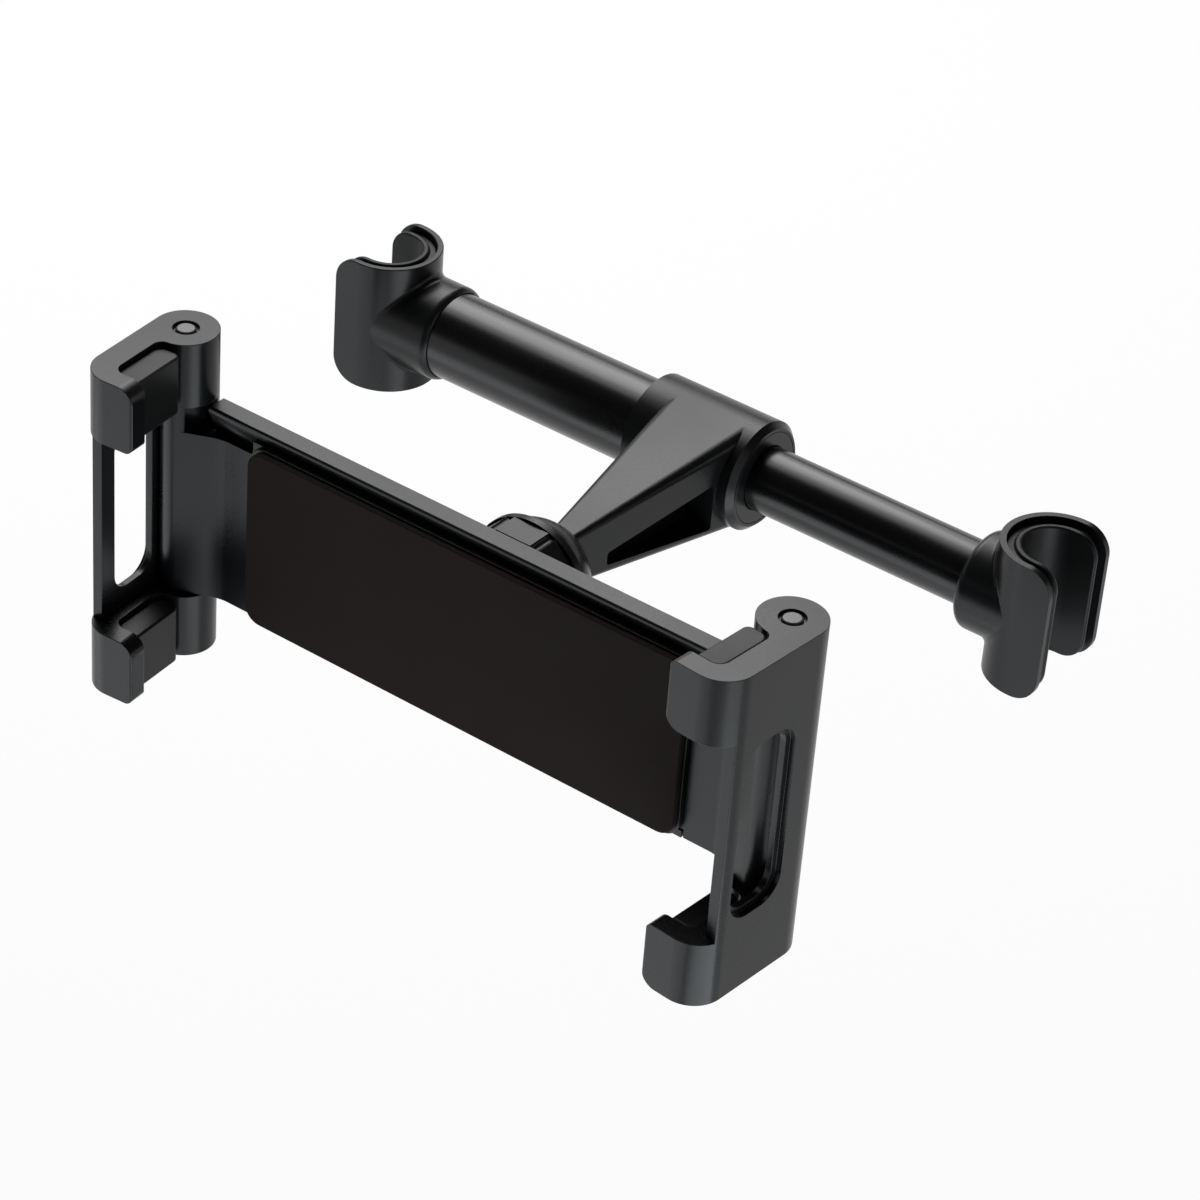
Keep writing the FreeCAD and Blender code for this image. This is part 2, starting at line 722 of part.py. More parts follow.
def build_seats():
    """Rear ball seat and front pressure ring; their facing sides are coned so that the ring can tilt."""
    outer = dim("cup_radius")
    inner = dim("ball_radius") + dim("ball_fit")
    parting = dim("seat_parting")
    parts = []
    for name, facing in (("ball_seat", 1.0), ("pressure_ring", -1.0)):
        part = new_body(name)
        ball(part, name + "_shell", outer)
        ball(part, name + "_hollow", inner, "SubtractiveSphere")
        cut = new_sketch(part, name + "_cone_outline", GROUND)
        wide = outer + dim("cut_margin")
        draw_outline(cut, [(0.0, facing * parting), (0.0, -facing * wide), (wide, -facing * wide),
                           (wide, facing * (parting + dim("seat_rise")))])
        spin(part, cut, name + "_cone_face", "Y_Axis", "Groove")
        place(part, bracket_x, ball_y, 0.0)
        parts.append(part)
    ring = parts[1]
    front = -dim("ring_front")
    block(ring, "ring_front_cut", (-outer, -outer, -outer), (outer, front, outer), "SubtractiveBox")


def build_stud():
    """Ball stud: ball, neck and the flange that is screwed to the housing, with its two screws."""
    body = new_body("ball_stud")
    flange_back = holder_y - ball_y + dim("hub_back")
    flange_front = flange_back + dim("stud_flange_thickness")
    sink = flange_front - (dim("screw_head_radius") - dim("screw_radius"))
    offset = dim("stud_screw_offset")
    ball(body, "stud_ball", dim("ball_radius"))
    rod(body, "stud_neck", "Y", (0.0, 0.0), flange_back, 0.0, dim("neck_radius"))
    last = rod(body, "stud_flange", "Y", (0.0, 0.0), flange_back, flange_front, dim("stud_flange_radius"))
    document.recompute()
    root = edges_where(last, lambda edge: near(edge.BoundBox.YMin, flange_front)
                       and near(edge.BoundBox.XLength, 2.0 * dim("neck_radius")))
    dress(body, last, "neck_root_round", root, dim("neck_round"))
    for side, name in ((-1, "left"), (1, "right")):
        centre = (side * offset, 0.0)
        rod(body, name + "_screw_hole", "Y", centre, flange_back, flange_front,
            dim("screw_radius") + dim("screw_fit"), "SubtractiveCylinder")
        rod(body, name + "_screw_sink", "Y", centre, sink, flange_front,
            dim("screw_head_radius") + dim("screw_fit"), "SubtractiveCylinder")
    place(body, bracket_x, ball_y, 0.0)
    screws = new_body("stud_screws")
    for side, name in ((-1, "left"), (1, "right")):
        centre = (side * offset, 0.0)
        rod(screws, name + "_screw_shank", "Y", centre, flange_front - dim("screw_length"), sink,
            dim("screw_radius"))
        rod(screws, name + "_screw_head", "Y", centre, sink, flange_front, dim("screw_head_radius"))
    place(screws, bracket_x, ball_y, 0.0)


def seat_on_holder(part, side=0, angle=0.0):
    """Put a sub-part at the holder's centre, or at one of its two knuckles."""
    x = bracket_x + side * knuckle_spacing / 2.0
    place(part, x, holder_y, holder_z, angle)


def rounded_plate(body, name, half_width, low, high, corner, front, back):
    """Plate across Y with rounded corners."""
    sketch = new_sketch(body, name + "_outline", FRONT, -Size.of(back))
    draw_outline(sketch, [(-half_width, low, corner), (half_width, low, corner),
                          (half_width, high, corner), (-half_width, high, corner)])
    return extrude(body, sketch, back - front, name)


def build_housing():
    """Rear housing: back wall, overhanging roof, hub for the mechanism, panel seats and spring posts."""
    body = new_body("rear_housing")
    half = dim("housing_length") / 2.0
    front, back = -dim("housing_front"), dim("housing_back")
    inner = back - dim("housing_wall")
    section = new_sketch(body, "housing_section", SIDE, -half)
    roof_low = half_height - dim("roof_thickness")
    slope_low = dim("carrier_top") + dim("roof_gap")
    draw_outline(section, [(back, -half_height), (back, half_height), (front, half_height, dim("roof_round")),
                           (front, roof_low), (inner, slope_low), (inner, -half_height)])
    extrude(body, section, dim("housing_length"), "housing_wall_and_roof")
    hub_half = dim("hub_height") / 2.0
    hub = rounded_plate(body, "hub", dim("hub_length") / 2.0, hub_rise - hub_half, hub_rise + hub_half,
                        dim("pad_round"), inner, dim("hub_back"))
    document.recompute()
    rim = edges_where(hub, lambda edge: near(edge.BoundBox.YMin, dim("hub_back"))
                      and near(edge.BoundBox.YMax, dim("hub_back")))
    dress(body, hub, "hub_round", rim, dim("hub_round"))
    wall = dim("hub_wall")
    cavity_back = dim("hub_back") - wall
    room = dim("hub_length") / 2.0 - wall
    high = hub_half - wall
    block(body, "mechanism_room", (-room, front, hub_rise - high), (room, cavity_back, hub_rise + high),
          "SubtractiveBox")
    reach = dim("panel_length") / 2.0
    seat_front = -carrier_front_limit
    block(body, "bottom_wall", (-reach, seat_front, -half_height), (reach, back, bottom_wall_top))
    block(body, "panel_rib", (-reach, seat_front, slope_low), (reach, inner + weld, dim("panel_top")))
    rod(body, "center_boss", "Y", (0.0, hub_rise), dim("hub_back") - dim("boss_wall"),
        cavity_back + weld, dim("boss_radius"))
    for side in (-1, 1):
        name = "left" if side < 0 else "right"
        centre = (-side * spring_post_x, hub_rise - side * spring_level)
        rod(body, name + "_spring_post", "Y", centre, carrier_back_limit, cavity_back + weld,
            dim("spring_peg_radius"))
    rod(body, "axle_hole", "Y", (0.0, hub_rise), 0.0, dim("hub_back"), dim("axle_radius"),
        "SubtractiveCylinder")
    for side, name in ((-1, "left"), (1, "right")):
        rod(body, name + "_screw_hole", "Y", (side * dim("stud_screw_offset"), hub_rise), cavity_back - 2.0,
            dim("hub_back"), dim("screw_radius") + dim("screw_fit"), "SubtractiveCylinder")
    seat_on_holder(body)


def build_front_panel():
    """Front panel that closes the housing, and the rubber pad bonded to it."""
    panel = new_body("front_panel")
    panel_back = -carrier_front_limit
    panel_front = panel_back - dim("panel_thickness")
    half = dim("panel_length") / 2.0
    rounded_plate(panel, "panel_plate", half, -half_height, dim("panel_top"), dim("pad_round"),
                  panel_front, panel_back)
    seat_on_holder(panel)
    pad = new_body("front_pad")
    edge = dim("pad_overhang")
    plate = rounded_plate(pad, "pad_plate", half - edge, edge - half_height, dim("panel_top") - edge,
                          dim("pad_round"), panel_front - dim("pad_thickness"), panel_front)
    document.recompute()
    rim_y = panel_front - dim("pad_thickness")
    rim = edges_where(plate, lambda side: near(side.BoundBox.YMin, rim_y) and near(side.BoundBox.YMax, rim_y))
    dress(pad, plate, "pad_edge_round", rim, dim("pad_edge_round"))
    seat_on_holder(pad)


def rack_tooth(body, name, side):
    """One straight-sided rack tooth that points to the pinion's axis."""
    module = dim("gear_module")
    slope = math.tan(math.radians(DIMENSIONS["pressure_angle_degrees"]))
    width = module * math.pi / 4.0 - dim("gear_backlash") / 2.0
    tip = width - module * slope
    root = width + dedendum * slope
    upward = -side
    tip_z = hub_rise + upward * (pitch_radius - module)
    root_z = hub_rise + upward * (pitch_radius + dedendum + weld)
    sketch = new_sketch(body, name + "_outline", FRONT, -rack_back)
    draw_outline(sketch, [(-root, root_z), (-tip, tip_z), (tip, tip_z), (root, root_z)])
    return extrude(body, sketch, dim("rack_thickness"), name)


def build_carrier(side):
    """Sliding carrier: face plate, faired hinge barrel, rack tongue behind it and its spring peg."""
    name = "left_carrier" if side < 0 else "right_carrier"
    body = new_body(name)
    front, back = -carrier_face, dim("carrier_thickness") - carrier_face
    knuckle = knuckle_spacing / 2.0
    top = dim("carrier_top")
    step_x = dim("panel_length") / 2.0 + dim("arm_clearance")
    plate = new_sketch(body, name + "_plate_outline", FRONT, -back)
    inner_x = dim("carrier_inner_end")
    draw_outline(plate, [(side * inner_x, -dim("carrier_bottom")), (side * step_x, -dim("carrier_bottom")),
                         (side * step_x, -half_height), (side * knuckle, -half_height),
                         (side * knuckle, top), (side * inner_x, top)])
    extrude(body, plate, back - front, name + "_plate")
    fairing = new_sketch(body, name + "_fairing_outline", GROUND, -half_height)
    crest_x = knuckle - dim("fairing_crest")
    draw_outline(fairing, [(side * (knuckle - dim("fairing_start")), front + weld),
                           (side * (knuckle - dim("fairing_foot")), front, dim("fairing_round")),
                           (side * crest_x, -dim("fairing_height")), (side * knuckle, 0.0)])
    extrude(body, fairing, top + half_height, name + "_fairing")
    rod(body, name + "_barrel", "Z", (side * knuckle, 0.0), -half_height, half_height,
        dim("barrel_hinge_radius"))
    root = pitch_radius + dedendum
    upward = -side
    low = hub_rise + upward * root
    high = low + upward * dim("rack_height")
    if side > 0:
        low, high = high, low
    start = side * (inner_x + dim("rack_overlap"))
    reach = dim("slide_stroke") + dim("rack_run_out")
    end = -side * reach
    first, last_x = (start, end) if side < 0 else (end, start)
    block(body, name + "_tongue", (first, rack_front, low), (last_x, rack_back, high))
    web_end = side * (inner_x + weld)
    first, last_x = (start, web_end) if side < 0 else (web_end, start)
    block(body, name + "_tongue_root", (first, back - weld, low), (last_x, rack_front + weld, high))
    tooth = rack_tooth(body, name + "_tooth", side)
    pitch = dim("gear_module") * math.pi
    gaps = math.floor((reach.number - dim("gear_module").number) / pitch.number)
    teeth = repeat(body, [tooth], name + "_teeth", "X_Axis", gaps + 1, pitch * gaps)
    teeth.Reversed = side > 0
    peg = (side * dim("spring_peg_x"), hub_rise - side * spring_level)
    rod(body, name + "_peg", "Y", peg, back - weld, cavity_limit, dim("spring_peg_radius"))
    rod(body, name + "_pin_bore", "Z", (side * knuckle, 0.0), -half_height, half_height,
        dim("hinge_pin_radius") + dim("hinge_fit"), "SubtractiveCylinder")
    seat_on_holder(body)


def build_pinion():
    """Pinion that couples the two racks, and the axle pressed into the housing."""
    body = new_body("drive_pinion")
    module = dim("gear_module")
    teeth = dim("pinion_teeth_count")
    root_radius = pitch_radius - dedendum
    hub = new_sketch(body, "pinion_hub_outline", FRONT, -rack_back)
    draw_circle(hub, 0.0, 0.0, root_radius)
    extrude(body, hub, dim("rack_thickness"), "pinion_hub")
    tooth = new_sketch(body, "pinion_tooth_outline", FRONT, -rack_back)
    turn = math.pi / DIMENSIONS["pinion_teeth_count"]
    half_pitch = module * math.pi / 4.0 - dim("gear_backlash") / 2.0
    rows = ((root_radius - 0.2, half_pitch * 1.45), (pitch_radius, half_pitch),
            (pitch_radius + module * 0.9, half_pitch * 0.42))
    left_side = [(-half, radius) for radius, half in rows]
    right_side = [(half, radius) for radius, half in reversed(rows)]
    draw_outline(tooth, left_side + right_side)
    first = extrude(body, tooth, dim("rack_thickness"), "pinion_tooth")
    repeat(body, [first], "pinion_teeth", "Y_Axis", teeth, None)
    rod(body, "pinion_bore", "Y", (0.0, 0.0), 0.0, dim("hub_back"),
        dim("axle_radius") + dim("axle_fit"), "SubtractiveCylinder")
    place(body, bracket_x, holder_y, holder_z + hub_rise)
    body.Placement = FreeCAD.Placement(body.Placement.Base,
                                       FreeCAD.Rotation(FreeCAD.Vector(0, 1, 0), math.degrees(turn)))
    axle = new_body("pinion_axle")
    rod(axle, "axle_pin", "Y", (0.0, 0.0), carrier_back_limit, dim("hub_back"), dim("axle_radius"))
    place(axle, bracket_x, holder_y, holder_z + hub_rise)


def round_lips(body, name, side, half, block_low):
    """Round the inboard corners of both hook lips; the two arms are one part turned upside down."""
    margin = dim("cut_margin")
    sketch = new_sketch(body, name + "_lip_corner_outlines", FRONT, dim("arm_depth") + margin)
    edge = -side * dim("hook_lip")
    beyond = edge - side * margin
    for level, facing in ((half, 1.0), (block_low, -1.0), (-block_low, 1.0), (-half, -1.0)):
        corner = dim("hook_corner_small") if facing * side > 0 else dim("hook_corner_large")
        run = corner + margin / 20.0
        past, start, inner = level + facing * margin, level - facing * run, edge + side * run
        draw_outline(sketch, [(beyond, past), (inner, past), (inner, level), (edge, level, corner),
                              (edge, start), (beyond, start)])
    extrude(body, sketch, dim("hook_wall") + 1.5 * margin, name + "_lip_corners", "Pocket")


def build_arm(side):
    """Gripping arm: two hook blocks and a slotted web that turn on one hinge pin."""
    name = "left_arm" if side < 0 else "right_arm"
    body = new_body(name)
    half, block_low = arm_half, hook_low
    radius = dim("knuckle_radius")
    depth = dim("arm_depth")
    wall = radius - dim("arm_wall")
    hook_face = depth - dim("hook_wall")
    rod(body, name + "_knuckle", "Z", (0.0, 0.0), -half, half, radius)
    outline = new_sketch(body, name + "_outline", GROUND, -half)
    draw_outline(outline, [(side * radius, 0.0), (side * radius, -depth, dim("arm_corner_round")),
                           (-side * dim("hook_lip"), -depth, dim("hook_tip_round")),
                           (-side * dim("hook_lip"), -hook_face, dim("hook_tip_round")),
                           (side * wall, -hook_face, dim("hook_inner_round")), (side * wall, 0.0)])
    profile = extrude(body, outline, dim("arm_height"), name + "_profile")
    document.recompute()
    knuckle_y = -math.sqrt(radius.number ** 2 - wall.number ** 2)
    seam = edges_where(profile, lambda edge: near(edge.BoundBox.YMin, knuckle_y)
                       and near(edge.BoundBox.YMax, knuckle_y) and edge.BoundBox.ZLength > block_low.number)
    dress(body, profile, name + "_knuckle_blend", seam, dim("knuckle_blend"))
    web = radius - dim("web_wall")
    front_cut = new_sketch(body, name + "_window_outline", GROUND, -block_low)
    far = depth + 2.0
    inboard = -side * (dim("hook_lip") + 4.0)
    draw_outline(front_cut, [(inboard, dim("skin_back_gap")), (0.0, dim("skin_back_gap")), (0.0, -1.0),
                             (side * web, -1.0), (side * web, -dim("web_depth")),
                             (side * (radius + 2.0), -dim("web_depth")), (side * (radius + 2.0), -far),
                             (inboard, -far)])
    extrude(body, front_cut, 2.0 * block_low, name + "_window", "Pocket", True)
    round_lips(body, name, side, half, block_low)
    rod(body, name + "_barrel_room", "Z", (0.0, 0.0), -block_low, block_low,
        dim("barrel_hinge_radius") + dim("arm_clearance"), "SubtractiveCylinder")
    slot_middle = -dim("slot_center")
    half_width, half_slot = dim("slot_width") / 2.0, dim("slot_height") / 2.0
    corner = dim("slot_round")
    lip = dim("slot_lip")
    for step, inset, start, thickness in (("recess", 0.0, radius - lip, lip + 1.0),
                                          ("slot", lip, web - 1.0, dim("web_wall") + 2.0)):
        sketch = new_sketch(body, name + "_" + step + "_outline", SIDE, side * start)
        wide, tall, bend = half_width - inset, half_slot - inset, corner - inset
        draw_outline(sketch, [(slot_middle - wide, -tall, bend), (slot_middle + wide, -tall, bend),
                              (slot_middle + wide, tall, bend), (slot_middle - wide, tall, bend)])
        extrude(body, sketch, thickness, name + "_" + step, "Pocket", side > 0)
    rod(body, name + "_pin_hole", "Z", (0.0, 0.0), -half, half, dim("hinge_pin_radius"),
        "SubtractiveCylinder")
    recess = dim("pin_recess_depth")
    rod(body, name + "_top_recess", "Z", (0.0, 0.0), half - recess, half, dim("pin_recess_radius"),
        "SubtractiveCylinder")
    rod(body, name + "_bottom_recess", "Z", (0.0, 0.0), -half, recess - half,
        dim("pin_recess_radius"), "SubtractiveCylinder")
    seat_on_holder(body, side, -side * dim("arm_toe_degrees").number)
    pin = new_body(name.replace("arm", "hinge_pin"))
    rod(pin, name + "_pin", "Z", (0.0, 0.0), -half, half, dim("hinge_pin_radius"))
    seat_on_holder(pin, side, -side * dim("arm_toe_degrees").number)


def build_grip_pad(side, upper):
    """Rubber pad that fills the corner of one hook."""
    name = ("left_" if side < 0 else "right_") + ("upper" if upper else "lower") + "_grip_pad"
    body = new_body(name)
    height = arm_half - hook_low - dim("grip_pad_inset") - dim("grip_pad_rise")
    bottom = hook_low if upper else -arm_half
    bottom = bottom + (dim("grip_pad_rise") if side < 0 else dim("grip_pad_inset"))
    outer = dim("knuckle_radius") - dim("arm_wall")
    inner = outer - dim("grip_pad_thickness")
    sketch = new_sketch(body, name + "_outline", GROUND, bottom)
    hook_face = dim("arm_depth") - dim("hook_wall")
    start, corner = dim("grip_pad_start"), dim("hook_inner_round")
    draw_outline(sketch, [(side * outer, -start, corner), (side * outer, -hook_face, corner),
                          (side * inner, -hook_face), (side * inner, -start, dim("grip_pad_round"))])
    extrude(body, sketch, height, name + "_block")
    seat_on_holder(body, side, -side * dim("arm_toe_degrees").number)


# Clear depths shared by the housing, the carriers and the racks, measured from the knuckle line
carrier_face = dim("carrier_face")
carrier_front_limit = carrier_face + dim("slide_gap")
carrier_back_limit = dim("carrier_thickness") - carrier_face + dim("slide_gap")
rack_front = carrier_back_limit
rack_back = rack_front + dim("rack_thickness")
bottom_wall_top = -dim("carrier_bottom") - dim("slide_gap") * 2.0
cavity_limit = dim("hub_back") - dim("hub_wall") - 0.3


def build_all():
    """Build every sub-part of the mount."""
    build_clip("left_clip", -1, 0.0, dim("left_collar_end"), dim("outer_tube_radius"))
    build_clip("right_clip", 1, dim("post_spacing"), dim("right_collar_end"), dim("inner_tube_radius"))
    build_liner("left_clip_liner", -1, 0.0)
    build_liner("right_clip_liner", 1, dim("post_spacing"))
    build_tubes()
    build_bush()
    build_spring("bar_spring", dim("bar_spring_radius"), dim("bar_spring_wire"),
                 dim("bar_spring_turns_count"), tube_floor, plug_face - tube_floor, 0.0, 0.0)
    build_bracket()
    build_nut()
    build_seats()
    build_stud()
    build_housing()
    build_front_panel()
    for side in (-1, 1):
        build_carrier(side)
    build_pinion()
    for side in (-1, 1):
        name = "left_return_spring" if side < 0 else "right_return_spring"
        start = bracket_x + side * (dim("spring_peg_x") - dim("spring_peg_gap"))
        if side > 0:
            start = start - dim("spring_length")
        level = holder_z + hub_rise - side * spring_level
        build_spring(name, dim("spring_radius"), dim("spring_wire"), dim("spring_turns_count"), start,
                     dim("spring_length"), holder_y + dim("spring_depth"), level)
    for side in (-1, 1):
        build_arm(side)
        for upper in (True, False):
            build_grip_pad(side, upper)


def write_parts():
    """Check every sub-part and write one STEP file for each."""
    document.recompute()
    failed = [item.Name for item in document.Objects if {"Invalid", "Error"} & set(item.State)]
    if failed:
        raise RuntimeError("failed: " + ", ".join(failed))
    kinds = ("PartDesign::Body", "Part::Sweep")
    for item in document.Objects:
        if item.TypeId not in kinds:
            continue
        shape = item.Shape
        if shape.isNull() or not shape.isValid():
            raise RuntimeError(item.Label + " has no valid shape")
        shape.exportStep("parts/" + item.Label + ".step")


build_all()
write_parts()
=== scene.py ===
"""Looks of a headrest tablet mount: finishes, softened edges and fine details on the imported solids.

Everything is in metres, in the frame of the solids. The origin lies on the left headrest post's axis,
+X runs along the bar to the right post, -Y points out of the holder to the viewer and +Z points up.
"""

import logging
import math
from dataclasses import dataclass, field
from enum import Enum
from typing import Any, ClassVar, Iterable, Sequence, Union

import bmesh
import bpy
from mathutils import Matrix, Vector


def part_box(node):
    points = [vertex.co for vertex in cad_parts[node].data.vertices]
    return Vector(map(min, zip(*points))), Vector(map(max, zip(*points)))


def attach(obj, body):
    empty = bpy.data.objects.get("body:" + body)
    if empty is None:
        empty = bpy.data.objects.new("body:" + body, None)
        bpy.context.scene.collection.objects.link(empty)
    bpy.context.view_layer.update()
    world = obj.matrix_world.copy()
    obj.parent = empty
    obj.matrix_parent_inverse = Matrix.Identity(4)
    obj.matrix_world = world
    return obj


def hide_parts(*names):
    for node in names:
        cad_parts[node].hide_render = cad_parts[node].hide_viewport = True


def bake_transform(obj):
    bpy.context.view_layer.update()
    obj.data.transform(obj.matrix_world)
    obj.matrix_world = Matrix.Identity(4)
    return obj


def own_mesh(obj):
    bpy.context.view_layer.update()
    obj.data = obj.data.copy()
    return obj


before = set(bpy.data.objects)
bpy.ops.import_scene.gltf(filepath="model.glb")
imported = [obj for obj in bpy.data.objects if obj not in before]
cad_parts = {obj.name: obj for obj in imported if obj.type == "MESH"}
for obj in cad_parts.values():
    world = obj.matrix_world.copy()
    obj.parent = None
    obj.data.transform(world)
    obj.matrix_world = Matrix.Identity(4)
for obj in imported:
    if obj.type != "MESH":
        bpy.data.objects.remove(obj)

LOG = logging.getLogger("headrest_mount")
MM = 0.001
WELD = 0.002 * MM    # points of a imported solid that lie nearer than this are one
MERGE = 0.001 * MM   # points of a mesh built here that lie nearer than this are one
WHITE = (1.0, 1.0, 1.0)
FLOOR_HEIGHT = -0.19
STRIP_HEIGHT = FLOOR_HEIGHT + 0.005
Number = Union["Signal", float, int]
Point = tuple[float, float, float]


class Slot(Enum):
    """Material slots of the record that new pieces take their finish from."""

    PLASTIC = "satin_black_plastic"
    TUBE = "tube_black"
    PAD = "pad_rubber"
    LINER = "liner_rubber"
    PIN = "pin_steel"
    SPRING = "spring_steel"
    GEAR = "gear_plastic"
    BALL = "ball_plastic"


class Body(Enum):
    """Moving bodies that pieces ride on."""

    BAR = "post_bar"
    BAR_SLIDE = "bar_slide"
    NUT = "nut"
    HOLDER = "holder"
    LEFT_SLIDER = "left_slider"
    RIGHT_SLIDER = "right_slider"
    LEFT_ARM = "left_side_arm"
    RIGHT_ARM = "right_side_arm"


class Side(Enum):
    """Left or right half of the holder; the value starts the names of its pieces."""

    LEFT = "left"
    RIGHT = "right"

    @property
    def slider(self) -> Body:
        """Body of this side's carrier."""
        return Body.LEFT_SLIDER if self is Side.LEFT else Body.RIGHT_SLIDER

    @property
    def arm(self) -> Body:
        """Body of this side's arm."""
        return Body.LEFT_ARM if self is Side.LEFT else Body.RIGHT_ARM


class Signal:
    """A number that travels through a shader: wraps one socket and builds Math nodes from operators."""

    def __init__(self, recipe: "Recipe", socket: bpy.types.NodeSocket) -> None:
        """Keep the recipe that owns the nodes and the wrapped socket."""
        self.recipe = recipe
        self.socket = socket

    def _math(self, operation: str, *values: Number) -> "Signal":
        """Add one Math node.

        Args:
            operation: Name of the Math node's operation.
            values: Numbers or signals for its sockets, in order.

        Returns:
            The node's result.
        """
        return self.recipe.add("ShaderNodeMath", {"operation": operation}, dict(enumerate(values)))

    def __add__(self, other: Number) -> "Signal":
        """Sum."""
        return self._math("ADD", self, other)

    __radd__ = __add__

    def __sub__(self, other: Number) -> "Signal":
        """Difference."""
        return self._math("SUBTRACT", self, other)

    def __mul__(self, other: Number) -> "Signal":
        """Product."""
        return self._math("MULTIPLY", self, other)

    def over(self, other: "Signal", share: float) -> "Signal":
        """Weighted sum of this signal and another; share is this signal's part."""
        return self * share + other * (1.0 - share)

    def ramp(self, low: float, high: float) -> "Signal":
        """Fade smoothly from 0 at low to 1 at high.

        Args:
            low: Value where the fade starts.
            high: Value where the fade ends.

        Returns:
            The faded signal.
        """
        settings = {"interpolation_type": "SMOOTHSTEP", "clamp": True}
        return self.recipe.add("ShaderNodeMapRange", settings, {"Value": self, "From Min": low, "From Max": high})


class Recipe:
    """Builds the node tree of one material or of the world."""

    NOISE_ROUGHNESS = 0.55
    MIX_FIRST, MIX_SECOND, MIX_RESULT = 6, 7, 2   # colour sockets of the Mix node, whose names repeat

    def __init__(self, owner: Union[bpy.types.Material, bpy.types.World]) -> None:
        """Empty the owner's tree and add its output, with a main shader for a material.

        Args:
            owner: Material or world whose tree is built.
        """
        owner.use_nodes = True
        self.owner = owner
        self.nodes = owner.node_tree.nodes
        self.links = owner.node_tree.links
        self.nodes.clear()
        if isinstance(owner, bpy.types.World):
            self.output = self.nodes.new("ShaderNodeOutputWorld")
            return
        self.output = self.nodes.new("ShaderNodeOutputMaterial")
        self.shader = self.nodes.new("ShaderNodeBsdfPrincipled")
        self.close(Signal(self, self.shader.outputs[0]))
        self.place = self.add("ShaderNodeTexCoord", {}, {}, "Object")

    def feed(self, socket: bpy.types.NodeSocket, value: Any) -> None:
        """Link a signal to a socket, or set the socket's own value."""
        if isinstance(value, Signal):
            self.links.new(value.socket, socket)
        else:
            socket.default_value = value

    def add(self, kind: str, settings: dict, inputs: dict, output: Union[str, int] = 0) -> Signal:
        """Add a node.

        Args:
            kind: The node's type.
            settings: Properties that are set before any socket.
            inputs: Values or signals by socket name or number.
            output: Name or number of the output that is wanted.

        Returns:
            The wanted output.
        """
        node = self.nodes.new(kind)
        for key, value in settings.items():
            setattr(node, key, value)
        for key, value in inputs.items():
            self.feed(node.inputs[key], value)
        return Signal(self, node.outputs[output])

    def stretched(self, factors: Sequence[float]) -> Signal:
        """Scale the object coordinates along each axis by its factor."""
        return self.add("ShaderNodeMapping", {}, {"Vector": self.place, "Scale": tuple(factors)})

    def noise(self, size: float, detail: float = 2.0, place: Union[Signal, None] = None) -> Signal:
        """Add a noise pattern.

        Args:
            size: Width of its blotches in metres.
            detail: Number of finer layers.
            place: Coordinates to read, the object's own if left out.

        Returns:
            A signal between 0 and 1.
        """
        inputs = {"Vector": place or self.place, "Scale": 1.0 / size, "Detail": detail,
                  "Roughness": self.NOISE_ROUGHNESS}
        return self.add("ShaderNodeTexNoise", {}, inputs, "Fac")

    def cells(self, size: float) -> Signal:
        """Distance to the nearest point of a scattered pattern whose cells have a size in metres."""
        return self.add("ShaderNodeTexVoronoi", {}, {"Vector": self.place, "Scale": 1.0 / size}, "Distance")

    def blend(self, factor: Number, first: Sequence[float], second: Sequence[float]) -> Signal:
        """Mix two colours.

        Args:
            factor: Share of the second colour.
            first: Colour at 0.
            second: Colour at 1.

        Returns:
            The mixed colour.
        """
        node = self.nodes.new("ShaderNodeMix")
        node.data_type = "RGBA"
        self.feed(node.inputs["Factor"], factor)
        self.feed(node.inputs[self.MIX_FIRST], (*first, 1.0))
        self.feed(node.inputs[self.MIX_SECOND], (*second, 1.0))
        return Signal(self, node.outputs[self.MIX_RESULT])

    def relief(self, height: Signal, depth: float) -> Signal:
        """Turn a height into a surface normal; depth is the height of 1 in metres."""
        return self.add("ShaderNodeBump", {}, {"Height": height, "Strength": 1.0, "Distance": depth})

    def seen(self) -> Signal:
        """Return 1 for rays that show the surroundings: seen straight, in gloss or through glass."""
        rays = [self.add("ShaderNodeLightPath", {}, {}, name)
                for name in ("Is Camera Ray", "Is Glossy Ray", "Is Transmission Ray")]
        return rays[0] + rays[1] + rays[2]

    def mix(self, factor: Number, first: Signal, second: Signal) -> Signal:
        """Mix two shaders; factor is the share of the second."""
        return self.add("ShaderNodeMixShader", {}, {0: factor, 1: first, 2: second})

    def close(self, surface: Signal) -> None:
        """Link a shader to the output."""
        self.feed(self.output.inputs["Surface"], surface)

    def set(self, **sockets: Any) -> None:
        """Set sockets of the main shader; an underscore in a name stands for a space."""
        for name, value in sockets.items():
            self.feed(self.shader.inputs[name.replace("_", " ")], value)


